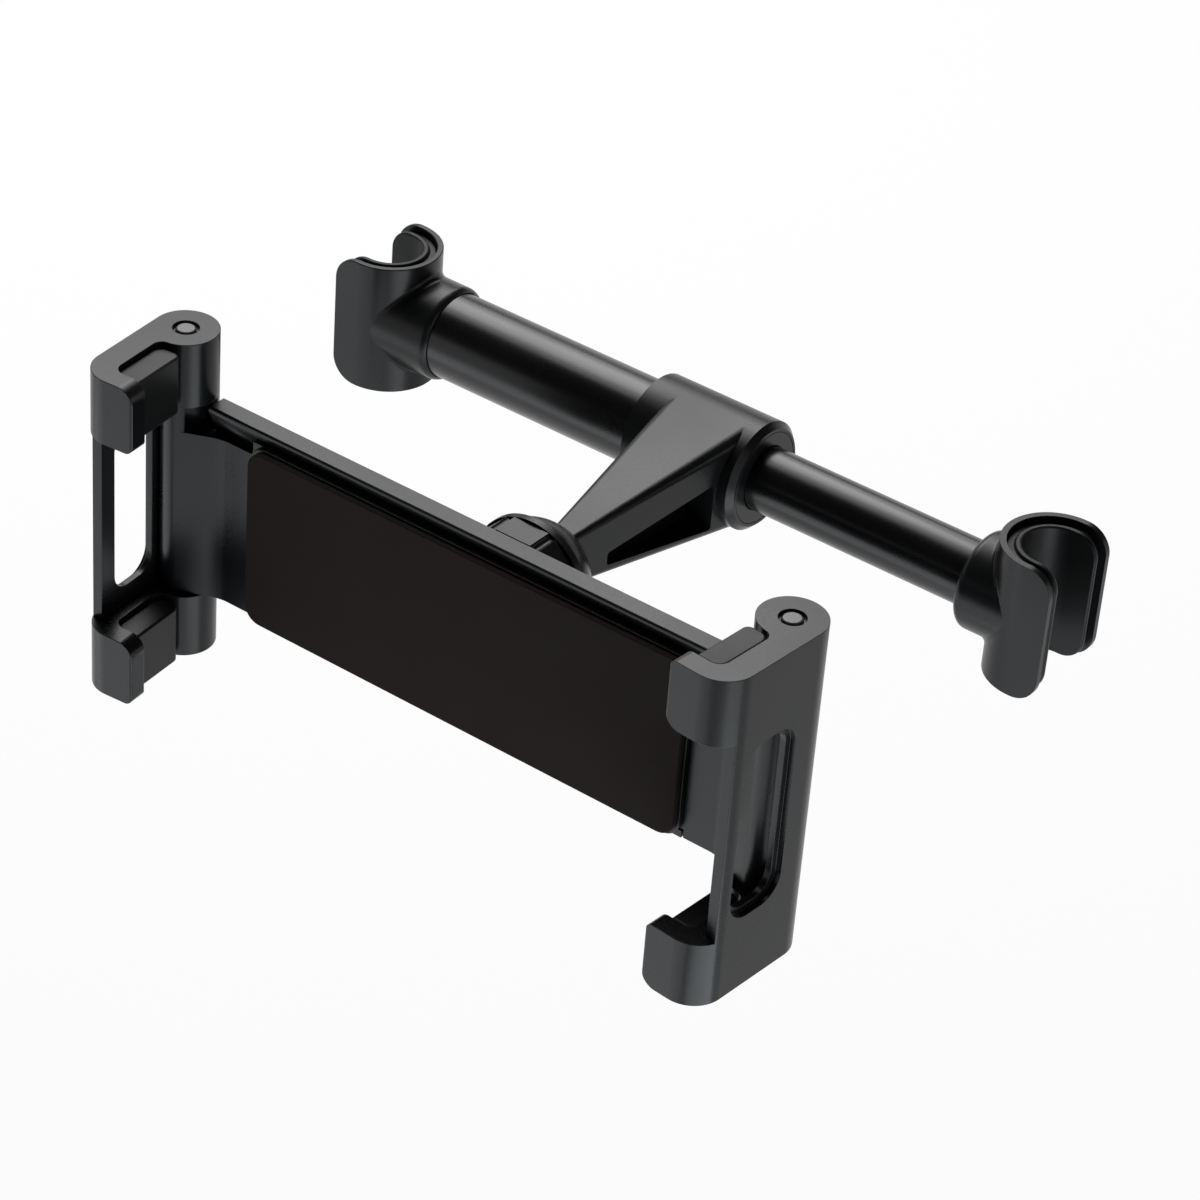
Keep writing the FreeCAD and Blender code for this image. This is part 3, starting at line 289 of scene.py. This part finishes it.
@dataclass(frozen=True)
class Finish:
    """Base of all finishes: colour with slow mottling, uneven gloss and a fine relief.

    Sizes are in metres. A name that ends in grains counts a size in grains of the relief.
    """

    name: str
    colour: Point
    mottled: Point
    roughness: float
    unevenness: float
    grain: float
    depth: float
    specular: float = 0.5
    metallic: float = 0.0
    handled_size: ClassVar[float] = 26 * MM
    handled_detail: ClassVar[float] = 4.0
    handled_fade: ClassVar[tuple[float, float]] = (0.35, 0.75)
    handled_share: ClassVar[float] = 0.6
    speckle_grains: ClassVar[float] = 2.5
    swell_grains: ClassVar[float] = 5.0
    fine_share: ClassVar[float] = 0.7

    def height(self, recipe: Recipe) -> Signal:
        """Relief of the surface, between 0 and 1."""
        return recipe.noise(self.grain, 3.0).over(recipe.noise(self.grain * self.swell_grains, 1.0), self.fine_share)

    def build(self) -> bpy.types.Material:
        """Build the material.

        Returns:
            The finished material.
        """
        recipe = Recipe(bpy.data.materials.new(self.name))
        handled = recipe.noise(self.handled_size, self.handled_detail).ramp(*self.handled_fade)
        speckle = recipe.noise(self.grain * self.speckle_grains)
        recipe.set(
            Base_Color=recipe.blend(handled.over(speckle, self.handled_share), self.colour, self.mottled),
            Roughness=self.roughness + (handled - 0.5) * self.unevenness + (speckle - 0.5) * self.unevenness,
            Metallic=self.metallic,
            Specular_IOR_Level=self.specular,
            Normal=recipe.relief(self.height(recipe), self.depth),
        )
        self.extras(recipe)
        return recipe.owner

    def extras(self, recipe: Recipe) -> None:
        """Settings that only some finishes have."""


@dataclass(frozen=True)
class Moulded(Finish):
    """Moulded plastic with the even pebble of an eroded tool."""

    grit_grains: ClassVar[float] = 0.5
    pebble_share: ClassVar[float] = 0.6

    def height(self, recipe: Recipe) -> Signal:
        """Rounded pebbles with fine grit between them."""
        return recipe.cells(self.grain).over(recipe.noise(self.grain * self.grit_grains), self.pebble_share)


@dataclass(frozen=True)
class Coated(Finish):
    """Smooth coat with a slight flow and fine lengthwise rub marks."""

    coat: float = 0.15
    coat_roughness: float = 0.22
    wave_size: ClassVar[float] = 9 * MM
    wave_share: ClassVar[float] = 0.5
    mark_squeeze: ClassVar[Point] = (0.03, 1.0, 1.0)

    def height(self, recipe: Recipe) -> Signal:
        """Slow waves of the coat and thin marks along the tube."""
        marks = recipe.noise(self.grain, place=recipe.stretched(self.mark_squeeze))
        return recipe.noise(self.wave_size, 1.0).over(marks, self.wave_share)

    def extras(self, recipe: Recipe) -> None:
        """Thin clear layer over the coat."""
        recipe.set(Coat_Weight=self.coat, Coat_Roughness=self.coat_roughness)


@dataclass(frozen=True)
class Rubbery(Finish):
    """Soft rubber with a dusty bloom and a slight sheen."""

    sheen: float = 0.02
    sheen_roughness: float = 0.6
    handled_size: ClassVar[float] = 14 * MM
    handled_detail: ClassVar[float] = 5.0
    handled_fade: ClassVar[tuple[float, float]] = (0.3, 0.8)

    def extras(self, recipe: Recipe) -> None:
        """Soft sheen of the matte skin."""
        recipe.set(Sheen_Weight=self.sheen, Sheen_Roughness=self.sheen_roughness)


@dataclass(frozen=True)
class Drawn(Finish):
    """Metal with marks of its drawing or turning along X."""

    mark_squeeze: ClassVar[Point] = (0.08, 1.0, 1.0)

    def height(self, recipe: Recipe) -> Signal:
        """Long thin marks."""
        return recipe.noise(self.grain, 3.0, recipe.stretched(self.mark_squeeze))


FINISHES: dict[Slot, Finish] = {
    Slot.PLASTIC: Moulded(
        "satin_black_plastic_look", colour=(0.0070, 0.0073, 0.0080), mottled=(0.0105, 0.0108, 0.0116),
        roughness=0.30, unevenness=0.06, grain=0.22 * MM, depth=0.005 * MM, specular=0.20),
    Slot.TUBE: Coated(
        "tube_black_look", colour=(0.0034, 0.0035, 0.0036), mottled=(0.0050, 0.0051, 0.0052),
        roughness=0.27, unevenness=0.05, grain=0.25 * MM, depth=0.0025 * MM, specular=0.26),
    Slot.PAD: Rubbery(
        "pad_rubber_look", colour=(0.0128, 0.0080, 0.0064), mottled=(0.0185, 0.0122, 0.0100),
        roughness=0.86, unevenness=0.08, grain=0.30 * MM, depth=0.012 * MM, specular=0.10, sheen=0.03),
    Slot.LINER: Rubbery(
        "liner_rubber_look", colour=(0.0045, 0.0045, 0.0048), mottled=(0.0085, 0.0085, 0.0090),
        roughness=0.40, unevenness=0.08, grain=0.35 * MM, depth=0.006 * MM, specular=0.16),
    Slot.PIN: Drawn(
        "pin_steel_look", colour=(0.050, 0.050, 0.053), mottled=(0.075, 0.075, 0.078),
        roughness=0.40, unevenness=0.06, grain=0.12 * MM, depth=0.003 * MM, metallic=0.35),
    Slot.SPRING: Drawn(
        "spring_steel_look", colour=(0.45, 0.45, 0.47), mottled=(0.52, 0.52, 0.54),
        roughness=0.30, unevenness=0.08, grain=0.10 * MM, depth=0.003 * MM, metallic=1.0),
    Slot.GEAR: Moulded(
        "gear_plastic_look", colour=(0.62, 0.61, 0.58), mottled=(0.68, 0.67, 0.64),
        roughness=0.38, unevenness=0.05, grain=0.18 * MM, depth=0.004 * MM),
    Slot.BALL: Finish(
        "ball_plastic_look", colour=(0.0110, 0.0112, 0.0120), mottled=(0.0160, 0.0162, 0.0170),
        roughness=0.22, unevenness=0.06, grain=0.30 * MM, depth=0.002 * MM, specular=0.25),
}


@dataclass
class Paintshop:
    """Keeps one built material for each slot and dresses nodes and pieces with it."""

    made: dict[Slot, bpy.types.Material] = field(default_factory=dict)

    def material(self, slot: Slot) -> bpy.types.Material:
        """Return the slot's material, built when it is first asked for."""
        if slot not in self.made:
            self.made[slot] = FINISHES[slot].build()
        return self.made[slot]

    def dress(self, item: bpy.types.Object, slot: Slot) -> None:
        """Give a whole mesh one finish."""
        item.data.materials.clear()
        item.data.materials.append(self.material(slot))

    def dress_node(self, node: str, slot: Slot) -> None:
        """Give a solid of the frame its finish; its mesh and shading stay as they are."""
        self.dress(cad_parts[node], slot)
        LOG.info("node %s wears %s", node, slot.value)


@dataclass
class Bench:
    """Mesh tools shared by the sub-assemblies; angles are in degrees."""

    paint: Paintshop
    smooth_angle: float = 35.0
    edge_angle: float = 32.0
    flat_angle: float = 0.5
    full_weight: int = 100

    def link(self, name: str, mesh: bpy.types.Mesh) -> bpy.types.Object:
        """Put a mesh in the scene as an object at the origin."""
        item = bpy.data.objects.new(name, mesh)
        bpy.context.scene.collection.objects.link(item)
        return item

    def settle(self, item: bpy.types.Object) -> bpy.types.Object:
        """Turn an object with modifiers into a plain mesh object of the same name.

        Args:
            item: Object whose modifiers are wanted in its mesh.

        Returns:
            The same object, with the result as its mesh and no modifiers.
        """
        bpy.context.view_layer.update()
        graph = bpy.context.evaluated_depsgraph_get()
        mesh = bpy.data.meshes.new_from_object(item.evaluated_get(graph))
        item.modifiers.clear()
        item.data = mesh
        return item

    def clean(self, item: bpy.types.Object) -> None:
        """Merge points that fell together and drop the faces without area between them."""
        shape = bmesh.new()
        shape.from_mesh(item.data)
        bmesh.ops.remove_doubles(shape, verts=shape.verts, dist=MERGE)
        bmesh.ops.dissolve_degenerate(shape, edges=shape.edges, dist=MERGE)
        shape.to_mesh(item.data)
        shape.free()

    def shade(self, item: bpy.types.Object) -> None:
        """Shade a mesh smoothly, with sharp edges where its faces turn quickly."""
        mesh = item.data
        mesh.polygons.foreach_set("use_smooth", [True] * len(mesh.polygons))
        mesh.set_sharp_from_angle(angle=math.radians(self.smooth_angle))

    def softened(self, node: str, slot: Slot, body: Body, width: float, steps: int = 3,
                 hollows: bool = True) -> bpy.types.Object:
        """Stand a copy with rounded edges in for a solid.

        Args:
            node: Solid of the frame that is copied.
            slot: Finish of the new piece.
            body: Body that it rides on.
            width: Width of the rounding in metres.
            steps: Number of faces across the rounding.
            hollows: Whether inner corners are rounded too.

        Returns:
            The new piece.
        """
        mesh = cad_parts[node].data.copy()
        shape = bmesh.new()
        shape.from_mesh(mesh)
        bmesh.ops.remove_doubles(shape, verts=shape.verts, dist=WELD)
        bmesh.ops.dissolve_degenerate(shape, edges=shape.edges, dist=WELD)
        bmesh.ops.dissolve_limit(shape, angle_limit=math.radians(self.flat_angle), verts=shape.verts,
                                 edges=shape.edges)
        weights = shape.edges.layers.float.new("bevel_weight_edge")
        least = math.radians(self.edge_angle)
        for edge in shape.edges:
            turn = edge.calc_face_angle_signed(0.0)
            edge[weights] = float(turn > least or (hollows and turn < -least))
        shape.to_mesh(mesh)
        shape.free()
        item = self.link(node + "_soft", mesh)
        bevel = item.modifiers.new("edges", "BEVEL")
        bevel.width = width
        bevel.segments = steps
        bevel.limit_method = "WEIGHT"
        bevel.use_clamp_overlap = True
        self.settle(item)
        self.clean(item)
        self.shade(item)
        level = item.modifiers.new("level", "WEIGHTED_NORMAL")
        level.mode = "FACE_AREA"
        level.weight = self.full_weight
        level.keep_sharp = True
        self.settle(item)
        self.finish(item, slot, body, node)
        return item

    def finish(self, item: bpy.types.Object, slot: Slot, body: Body, *nodes: str) -> None:
        """Dress a piece, seat it on its body and let it stand for solids.

        Args:
            item: The piece.
            slot: Its finish.
            body: Body that it rides on.
            nodes: Solids that it stands for.
        """
        self.paint.dress(item, slot)
        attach(item, body.value)
        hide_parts(*nodes)
        LOG.info("piece %s rides on %s", item.name, body.value)

    def lathe(self, name: str, profile: Iterable[tuple[float, float]], centre: Point, axis: str,
              steps: int = 96) -> bpy.types.Object:
        """Turn a closed profile round an axis.

        Args:
            name: Name of the object.
            profile: Points as (place along the axis, radius), in metres, round the section.
            centre: Point of the axis from which places are counted.
            axis: X or Y.
            steps: Number of faces round.

        Returns:
            The turned object.
        """
        points = list(profile)
        shape = bmesh.new()
        rings = []
        for step in range(steps):
            turn = 2.0 * math.pi * step / steps
            ring = []
            for place, radius in points:
                across = (radius * math.cos(turn), radius * math.sin(turn))
                spot = (place, *across) if axis == "X" else (across[0], place, across[1])
                ring.append(shape.verts.new(Vector(spot) + Vector(centre)))
            rings.append(ring)
        for step in range(steps):
            here, there = rings[step], rings[(step + 1) % steps]
            for i in range(len(points)):
                j = (i + 1) % len(points)
                shape.faces.new((here[i], here[j], there[j], there[i]))
        bmesh.ops.remove_doubles(shape, verts=shape.verts, dist=MERGE)
        loose = [edge for edge in shape.edges if not edge.link_faces]
        bmesh.ops.delete(shape, geom=loose, context="EDGES")
        bmesh.ops.recalc_face_normals(shape, faces=shape.faces)
        mesh = bpy.data.meshes.new(name)
        shape.to_mesh(mesh)
        shape.free()
        item = self.link(name, mesh)
        self.shade(item)
        return item


class Growth:
    """Builds one Geometry Nodes tree and applies it to an object."""

    def __init__(self, name: str, sizes: dict[str, float]) -> None:
        """Make a tree with named number inputs.

        Args:
            name: Name of the tree.
            sizes: Input names with their values, in metres or counts.
        """
        self.sizes = sizes
        self.tree = bpy.data.node_groups.new(name, "GeometryNodeTree")
        sockets = self.tree.interface
        sockets.new_socket("Geometry", in_out="INPUT", socket_type="NodeSocketGeometry")
        self.keys = {}
        for key in sizes:
            self.keys[key] = sockets.new_socket(key, in_out="INPUT", socket_type="NodeSocketFloat").identifier
        sockets.new_socket("Geometry", in_out="OUTPUT", socket_type="NodeSocketGeometry")
        self.source = self.tree.nodes.new("NodeGroupInput")

    def size(self, key: str) -> bpy.types.NodeSocket:
        """Return the output socket of a named size."""
        return self.source.outputs[key]

    def add(self, kind: str, inputs: dict, settings: dict | None = None) -> bpy.types.Node:
        """Add a node with its settings, values and links."""
        node = self.tree.nodes.new(kind)
        for key, value in (settings or {}).items():
            setattr(node, key, value)
        for key, value in inputs.items():
            if isinstance(value, bpy.types.NodeSocket):
                self.tree.links.new(value, node.inputs[key])
            else:
                node.inputs[key].default_value = value
        return node

    def close(self, geometry: bpy.types.NodeSocket, material: bpy.types.Material) -> None:
        """End the tree in Realize Instances and Set Material."""
        real = self.add("GeometryNodeRealizeInstances", {"Geometry": geometry})
        painted = self.add("GeometryNodeSetMaterial", {"Geometry": real.outputs[0], "Material": material})
        end = self.tree.nodes.new("NodeGroupOutput")
        self.tree.links.new(painted.outputs[0], end.inputs[0])

    def apply(self, item: bpy.types.Object, bench: Bench) -> bpy.types.Object:
        """Run the tree on an object and keep the result as its mesh.

        Args:
            item: Object that carries the modifier.
            bench: Mesh tools.

        Returns:
            The object with the grown mesh.
        """
        modifier = item.modifiers.new("growth", "NODES")
        modifier.node_group = self.tree
        for key, identifier in self.keys.items():
            modifier[identifier] = float(self.sizes[key])
        return bench.settle(item)


@dataclass
class Coil:
    """Coil spring of round wire along +X, with capped ends."""

    name: str
    radius: float
    wire: float
    turns: float
    start: Point
    length: float
    turn_steps: int = 28
    wire_steps: int = 10

    def build(self, bench: Bench) -> bpy.types.Object:
        """Grow the coil along a spiral.

        Args:
            bench: Mesh tools.

        Returns:
            The coil, not yet seated on a body.
        """
        sizes = {"Radius": self.radius, "Wire": self.wire / 2.0, "Turns": self.turns,
                 "Length": self.length - self.wire}
        growth = Growth(self.name + "_tree", sizes)
        spiral = growth.add("GeometryNodeCurveSpiral", {
            "Resolution": self.turn_steps, "Rotations": growth.size("Turns"), "Start Radius": growth.size("Radius"),
            "End Radius": growth.size("Radius"), "Height": growth.size("Length")})
        section = growth.add("GeometryNodeCurvePrimitiveCircle",
                             {"Resolution": self.wire_steps, "Radius": growth.size("Wire")})
        wire = growth.add("GeometryNodeCurveToMesh", {"Curve": spiral.outputs[0],
                                                      "Profile Curve": section.outputs[0], "Fill Caps": True})
        seat = (self.start[0] + self.wire / 2.0, self.start[1], self.start[2])
        laid = growth.add("GeometryNodeTransform", {"Geometry": wire.outputs[0], "Translation": seat,
                                                    "Rotation": (0.0, math.pi / 2.0, 0.0)})
        growth.close(laid.outputs[0], bench.paint.material(Slot.SPRING))
        item = growth.apply(bench.link(self.name, bpy.data.meshes.new(self.name)), bench)
        bench.shade(item)
        return item


@dataclass
class PostBar:
    """The bar between the posts: tubes, clips, liners, bush, bracket and spring."""

    bench: Bench
    edge: float = 0.45 * MM
    bush_edge: float = 0.25 * MM
    tube_edge: float = 0.35 * MM
    tube_steps: int = 128
    outer_wall: float = 1.6 * MM
    inner_wall: float = 1.5 * MM
    spring_turns: float = 8.0
    spring_wire: float = 1.2 * MM

    def tube(self, node: str, wall: float, body: Body) -> None:
        """Stand a finely turned tube in for a tube solid.

        Args:
            node: Tube solid.
            wall: Wall thickness in metres.
            body: Body that it rides on.
        """
        low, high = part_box(node)
        outer = (high[2] - low[2]) / 2.0
        inner, edge = outer - wall, self.tube_edge
        profile = [(low[0], inner), (low[0], outer - edge), (low[0] + edge, outer), (high[0] - edge, outer),
                   (high[0], outer - edge), (high[0], inner)]
        item = self.bench.lathe(node + "_turned", profile, (0.0, 0.0, 0.0), "X", self.tube_steps)
        self.bench.finish(item, Slot.TUBE, body, node)

    def spring(self) -> None:
        """Coil inside the outer tube, built once at the length of its solid and carried by the bar."""
        low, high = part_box("bar_spring")
        coil = Coil("bar_spring_coil", (high[2] - low[2] - self.spring_wire) / 2.0, self.spring_wire,
                    self.spring_turns, (low[0], 0.0, 0.0), high[0] - low[0])
        item = coil.build(self.bench)
        self.bench.finish(item, Slot.SPRING, Body.BAR, "bar_spring")
        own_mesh(item)

    def build(self) -> None:
        """Build and dress the bar."""
        self.tube("outer_tube", self.outer_wall, Body.BAR)
        self.tube("inner_tube", self.inner_wall, Body.BAR_SLIDE)
        for side, body in ((Side.LEFT, Body.BAR), (Side.RIGHT, Body.BAR_SLIDE)):
            self.bench.softened(side.value + "_clip", Slot.PLASTIC, body, self.edge)
            self.bench.softened(side.value + "_clip_liner", Slot.LINER, body, self.edge)
        self.bench.softened("tube_bush", Slot.PLASTIC, Body.BAR, self.bush_edge)
        self.bench.softened("bracket", Slot.PLASTIC, Body.BAR, self.edge)
        self.bench.paint.dress_node("guide_plug", Slot.GEAR)
        self.spring()


@dataclass
class BallJoint:
    """The lockable ball: nut, seats, stud and its screws."""

    bench: Bench
    edge: float = 0.3 * MM
    head_radius: float = 2.0 * MM
    head_height: float = 1.0 * MM
    head_edge: float = 0.25 * MM
    shank_radius: float = 1.0 * MM
    shank_tip: float = 0.4 * MM
    recess_width: float = 0.55 * MM
    recess_length: float = 2.2 * MM
    recess_depth: float = 0.6 * MM
    screw_steps: int = 40
    screw_count: int = 2

    def screws(self) -> None:
        """Two cross-recessed screws, repeated along X by one tree."""
        low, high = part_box("stud_screws")
        length, tip, edge = high[1] - low[1], self.shank_tip, self.head_edge
        centre = (low[0] + self.head_radius, high[1], (low[2] + high[2]) / 2.0)
        profile = [(-length, 0.0), (-length, self.shank_radius - tip), (tip - length, self.shank_radius),
                   (-self.head_height, self.shank_radius), (-self.head_height, self.head_radius),
                   (-edge, self.head_radius), (0.0, self.head_radius - edge), (0.0, 0.0)]
        screw = self.bench.lathe("stud_screws_fine", profile, centre, "Y", self.screw_steps)
        cutter = self.bench.link("recess_cutter", self.cross(centre))
        cut = screw.modifiers.new("recess", "BOOLEAN")
        cut.operation = "DIFFERENCE"
        cut.object = cutter
        self.bench.settle(screw)
        self.bench.clean(screw)
        bpy.data.objects.remove(cutter)
        pitch = (high[0] - low[0] - 2.0 * self.head_radius) / (self.screw_count - 1)
        growth = Growth("screw_row_tree", {"Count": self.screw_count, "Pitch": pitch})
        offset = growth.add("ShaderNodeCombineXYZ", {0: growth.size("Pitch")})
        line = growth.add("GeometryNodeMeshLine", {"Count": growth.size("Count"), "Offset": offset.outputs[0]})
        placed = growth.add("GeometryNodeInstanceOnPoints",
                            {"Points": line.outputs[0], "Instance": growth.source.outputs[0]})
        growth.close(placed.outputs[0], self.bench.paint.material(Slot.PIN))
        growth.apply(screw, self.bench)
        self.bench.shade(screw)
        self.bench.finish(screw, Slot.PIN, Body.HOLDER, "stud_screws")

    def cross(self, centre: Point) -> bpy.types.Mesh:
        """Cutter for a cross recess.

        Args:
            centre: Middle of the screw head's flat face.

        Returns:
            Mesh of a prism with a cross as its section.
        """
        long, wide, deep = self.recess_length / 2.0, self.recess_width / 2.0, self.recess_depth
        corner = [(long, -wide), (long, wide), (wide, wide)]
        outline = []
        for _ in range(4):
            outline.extend(corner)
            corner = [(-z, x) for x, z in corner]
        shape = bmesh.new()
        rings = [[shape.verts.new(Vector(centre) + Vector((x, y, z))) for x, z in outline] for y in (-deep, deep)]
        for i in range(len(outline)):
            j = (i + 1) % len(outline)
            shape.faces.new((rings[0][i], rings[0][j], rings[1][j], rings[1][i]))
        for ring in rings:
            shape.faces.new(ring)
        bmesh.ops.recalc_face_normals(shape, faces=shape.faces)
        mesh = bpy.data.meshes.new("recess")
        shape.to_mesh(mesh)
        shape.free()
        return mesh

    def build(self) -> None:
        """Build and dress the joint."""
        self.bench.softened("lock_nut", Slot.PLASTIC, Body.NUT, self.edge)
        self.bench.softened("ball_stud", Slot.BALL, Body.HOLDER, self.edge)
        for node in ("ball_seat", "pressure_ring"):
            self.bench.paint.dress_node(node, Slot.GEAR)
        self.screws()


@dataclass
class TabletHolder:
    """The holder's plates, its carriers and the mechanism between them."""

    bench: Bench
    edge: float = 0.35 * MM
    panel_edge: float = 0.15 * MM
    pad_edge: float = 0.2 * MM
    carrier_edge: float = 0.2 * MM
    spring_turns: float = 9.0
    spring_wire: float = 0.7 * MM

    def spring(self, side: Side) -> None:
        """Return spring that stretches between the housing's post and its carrier's peg.

        Args:
            side: The carrier's side.
        """
        node = side.value + "_return_spring"
        low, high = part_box(node)
        wire = self.spring_wire
        middle = ((low[1] + high[1]) / 2.0, (low[2] + high[2]) / 2.0)
        coil = Coil(node + "_coil", (high[2] - low[2] - wire) / 2.0, wire, self.spring_turns,
                    (low[0], *middle), high[0] - low[0])
        item = coil.build(self.bench)
        self.bench.paint.dress(item, Slot.SPRING)
        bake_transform(item)
        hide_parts(node)

    def build(self) -> None:
        """Build and dress the holder."""
        self.bench.softened("rear_housing", Slot.PLASTIC, Body.HOLDER, self.edge)
        self.bench.softened("front_panel", Slot.PLASTIC, Body.HOLDER, self.panel_edge)
        self.bench.softened("front_pad", Slot.PAD, Body.HOLDER, self.pad_edge)
        for side in Side:
            # The racks keep their sharp roots, where the pinion's teeth run.
            self.bench.softened(side.value + "_carrier", Slot.PLASTIC, side.slider, self.carrier_edge, hollows=False)
            self.spring(side)
        self.bench.paint.dress_node("drive_pinion", Slot.GEAR)
        self.bench.paint.dress_node("pinion_axle", Slot.PIN)


@dataclass
class SideArm:
    """One hooked arm with its hinge pin and rubber pads."""

    bench: Bench
    side: Side
    edge: float = 0.4 * MM
    pin_edge: float = 0.5 * MM
    pad_edge: float = 0.6 * MM
    pad_steps: int = 4

    def build(self) -> None:
        """Build and dress the arm."""
        side, body = self.side.value, self.side.arm
        self.bench.softened(side + "_arm", Slot.PLASTIC, body, self.edge)
        self.bench.softened(side + "_hinge_pin", Slot.PIN, body, self.pin_edge)
        for level in ("upper", "lower"):
            self.bench.softened(side + "_" + level + "_grip_pad", Slot.LINER, body, self.pad_edge, self.pad_steps)


@dataclass(frozen=True)
class Lamp:
    """A softbox, with its size in metres and its power in watts.

    One that stands faces the holder. A flat one lies on the floor, faces up and isn't seen by the camera.
    """

    name: str
    place: Point
    size: tuple[float, float]
    power: float
    flat: bool = False


LAMPS = (
    Lamp("back_softbox", (-0.48, 0.50, 0.90), (1.2, 1.1), 13.5),
    Lamp("back_core", (-0.46, 0.45, 0.84), (0.6, 0.5), 4.5),
    Lamp("right_softbox", (1.2, -0.2, 0.2), (0.4, 0.9), 1.0),
    Lamp("floor_strip", (-0.07, -0.33, STRIP_HEIGHT), (0.5, 0.3), 0.66, flat=True),
    Lamp("right_strip", (0.34, -0.17, STRIP_HEIGHT), (0.26, 0.22), 0.75, flat=True),
    Lamp("front_strip", (0.115, -0.14, STRIP_HEIGHT), (0.09, 0.07), 0.045, flat=True),
)


@dataclass
class Studio:
    """Floor, world, lamps and camera; angles are in degrees, the lens and its sensor in millimetres."""

    aim: Point = (0.08394, -0.02984, -0.02491)
    distance: float = 0.86
    azimuth: float = 34.79
    elevation: float = 34.44
    roll: float = 4.59
    lens: float = 122.37
    sensor: float = 36.0
    nearest: float = 0.01
    floor_middle: float = 0.09
    floor_size: float = 6.0
    floor_squares: int = 8
    floor_glow: float = 0.89
    paper: Point = (0.9, 0.9, 0.9)
    unseen_floor: Point = (0.36, 0.38, 0.41)
    sky: float = 0.035
    backdrop_top: tuple[float, float] = (0.16, 0.32)
    cool: Point = (0.88, 0.96, 1.0)

    def camera(self) -> None:
        """Set the camera at the photograph's angle."""
        data = bpy.data.cameras.new("camera")
        data.lens = self.lens
        data.sensor_width = self.sensor
        data.sensor_fit = "HORIZONTAL"
        data.clip_start = self.nearest
        data.dof.use_dof = False
        item = bpy.data.objects.new("camera", data)
        around, up = math.radians(self.azimuth), math.radians(self.elevation)
        back = Vector((math.sin(around) * math.cos(up), -math.cos(around) * math.cos(up), math.sin(up)))
        right = Vector((math.cos(around), math.sin(around), 0.0))
        above = back.cross(right)
        cosine, sine = math.cos(math.radians(self.roll)), math.sin(math.radians(self.roll))
        axes = (right * cosine + above * sine, above * cosine - right * sine, back)
        pose = Matrix(axes).transposed().to_4x4()
        pose.translation = Vector(self.aim) + back * self.distance
        item.matrix_world = pose
        bpy.context.scene.collection.objects.link(item)
        bpy.context.scene.camera = item

    def floor(self) -> None:
        """Pale floor that the camera sees as white paper with the object's soft shadow."""
        shape = bmesh.new()
        bmesh.ops.create_grid(shape, x_segments=self.floor_squares, y_segments=self.floor_squares,
                              size=self.floor_size / 2.0,
                              matrix=Matrix.Translation((self.floor_middle, 0.0, FLOOR_HEIGHT)))
        mesh = bpy.data.meshes.new("floor")
        shape.to_mesh(mesh)
        shape.free()
        item = bpy.data.objects.new("floor", mesh)
        bpy.context.scene.collection.objects.link(item)
        recipe = Recipe(bpy.data.materials.new("paper_floor"))
        recipe.set(Base_Color=(*self.paper, 1.0), Roughness=0.9, Specular_IOR_Level=0.1)
        dim = recipe.add("ShaderNodeBsdfDiffuse", {}, {"Color": (*self.unseen_floor, 1.0)})
        glow = recipe.add("ShaderNodeEmission", {}, {"Color": (*WHITE, 1.0)})
        paper = recipe.mix(self.floor_glow, Signal(recipe, recipe.shader.outputs[0]), glow)
        recipe.close(recipe.mix(recipe.seen(), dim, paper))
        mesh.materials.append(recipe.owner)

    def world(self) -> None:
        """White backdrop round the floor's edge under a dark ceiling, and a faint even sky for the light."""
        world = bpy.data.worlds.new("studio")
        bpy.context.scene.world = world
        recipe = Recipe(world)
        towards = recipe.add("ShaderNodeTexCoord", {}, {}, "Generated")
        height = recipe.add("ShaderNodeSeparateXYZ", {}, {"Vector": towards}, "Z")
        colour = recipe.blend(height.ramp(*self.backdrop_top), WHITE, (self.sky, self.sky, self.sky))
        backdrop = recipe.add("ShaderNodeBackground", {}, {"Color": colour})
        sky = recipe.add("ShaderNodeBackground", {}, {"Color": (*WHITE, 1.0), "Strength": self.sky})
        recipe.close(recipe.mix(recipe.seen(), sky, backdrop))

    def light(self, lamp: Lamp) -> None:
        """Stand a lamp in the scene."""
        data = bpy.data.lights.new(lamp.name, "AREA")
        data.shape = "RECTANGLE"
        data.size, data.size_y = lamp.size
        data.energy = lamp.power
        data.color = self.cool if lamp.flat else WHITE
        item = bpy.data.objects.new(lamp.name, data)
        item.location = lamp.place
        away = Vector((0.0, 0.0, -1.0)) if lamp.flat else Vector(lamp.place) - Vector(self.aim)
        item.rotation_euler = away.to_track_quat("Z", "Y").to_euler()
        item.visible_camera = not lamp.flat
        bpy.context.scene.collection.objects.link(item)

    def build(self) -> None:
        """Set up the studio."""
        bpy.context.scene.view_settings.view_transform = "Standard"
        self.camera()
        self.floor()
        self.world()
        for lamp in LAMPS:
            self.light(lamp)


def main() -> None:
    """Build the studio and the sub-assemblies in order."""
    logging.basicConfig(level=logging.INFO, format="%(name)s: %(message)s")
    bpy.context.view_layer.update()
    bench = Bench(Paintshop())
    Studio().build()
    PostBar(bench).build()
    BallJoint(bench).build()
    TabletHolder(bench).build()
    for side in Side:
        SideArm(bench, side).build()


if __name__ == "__main__":
    main()
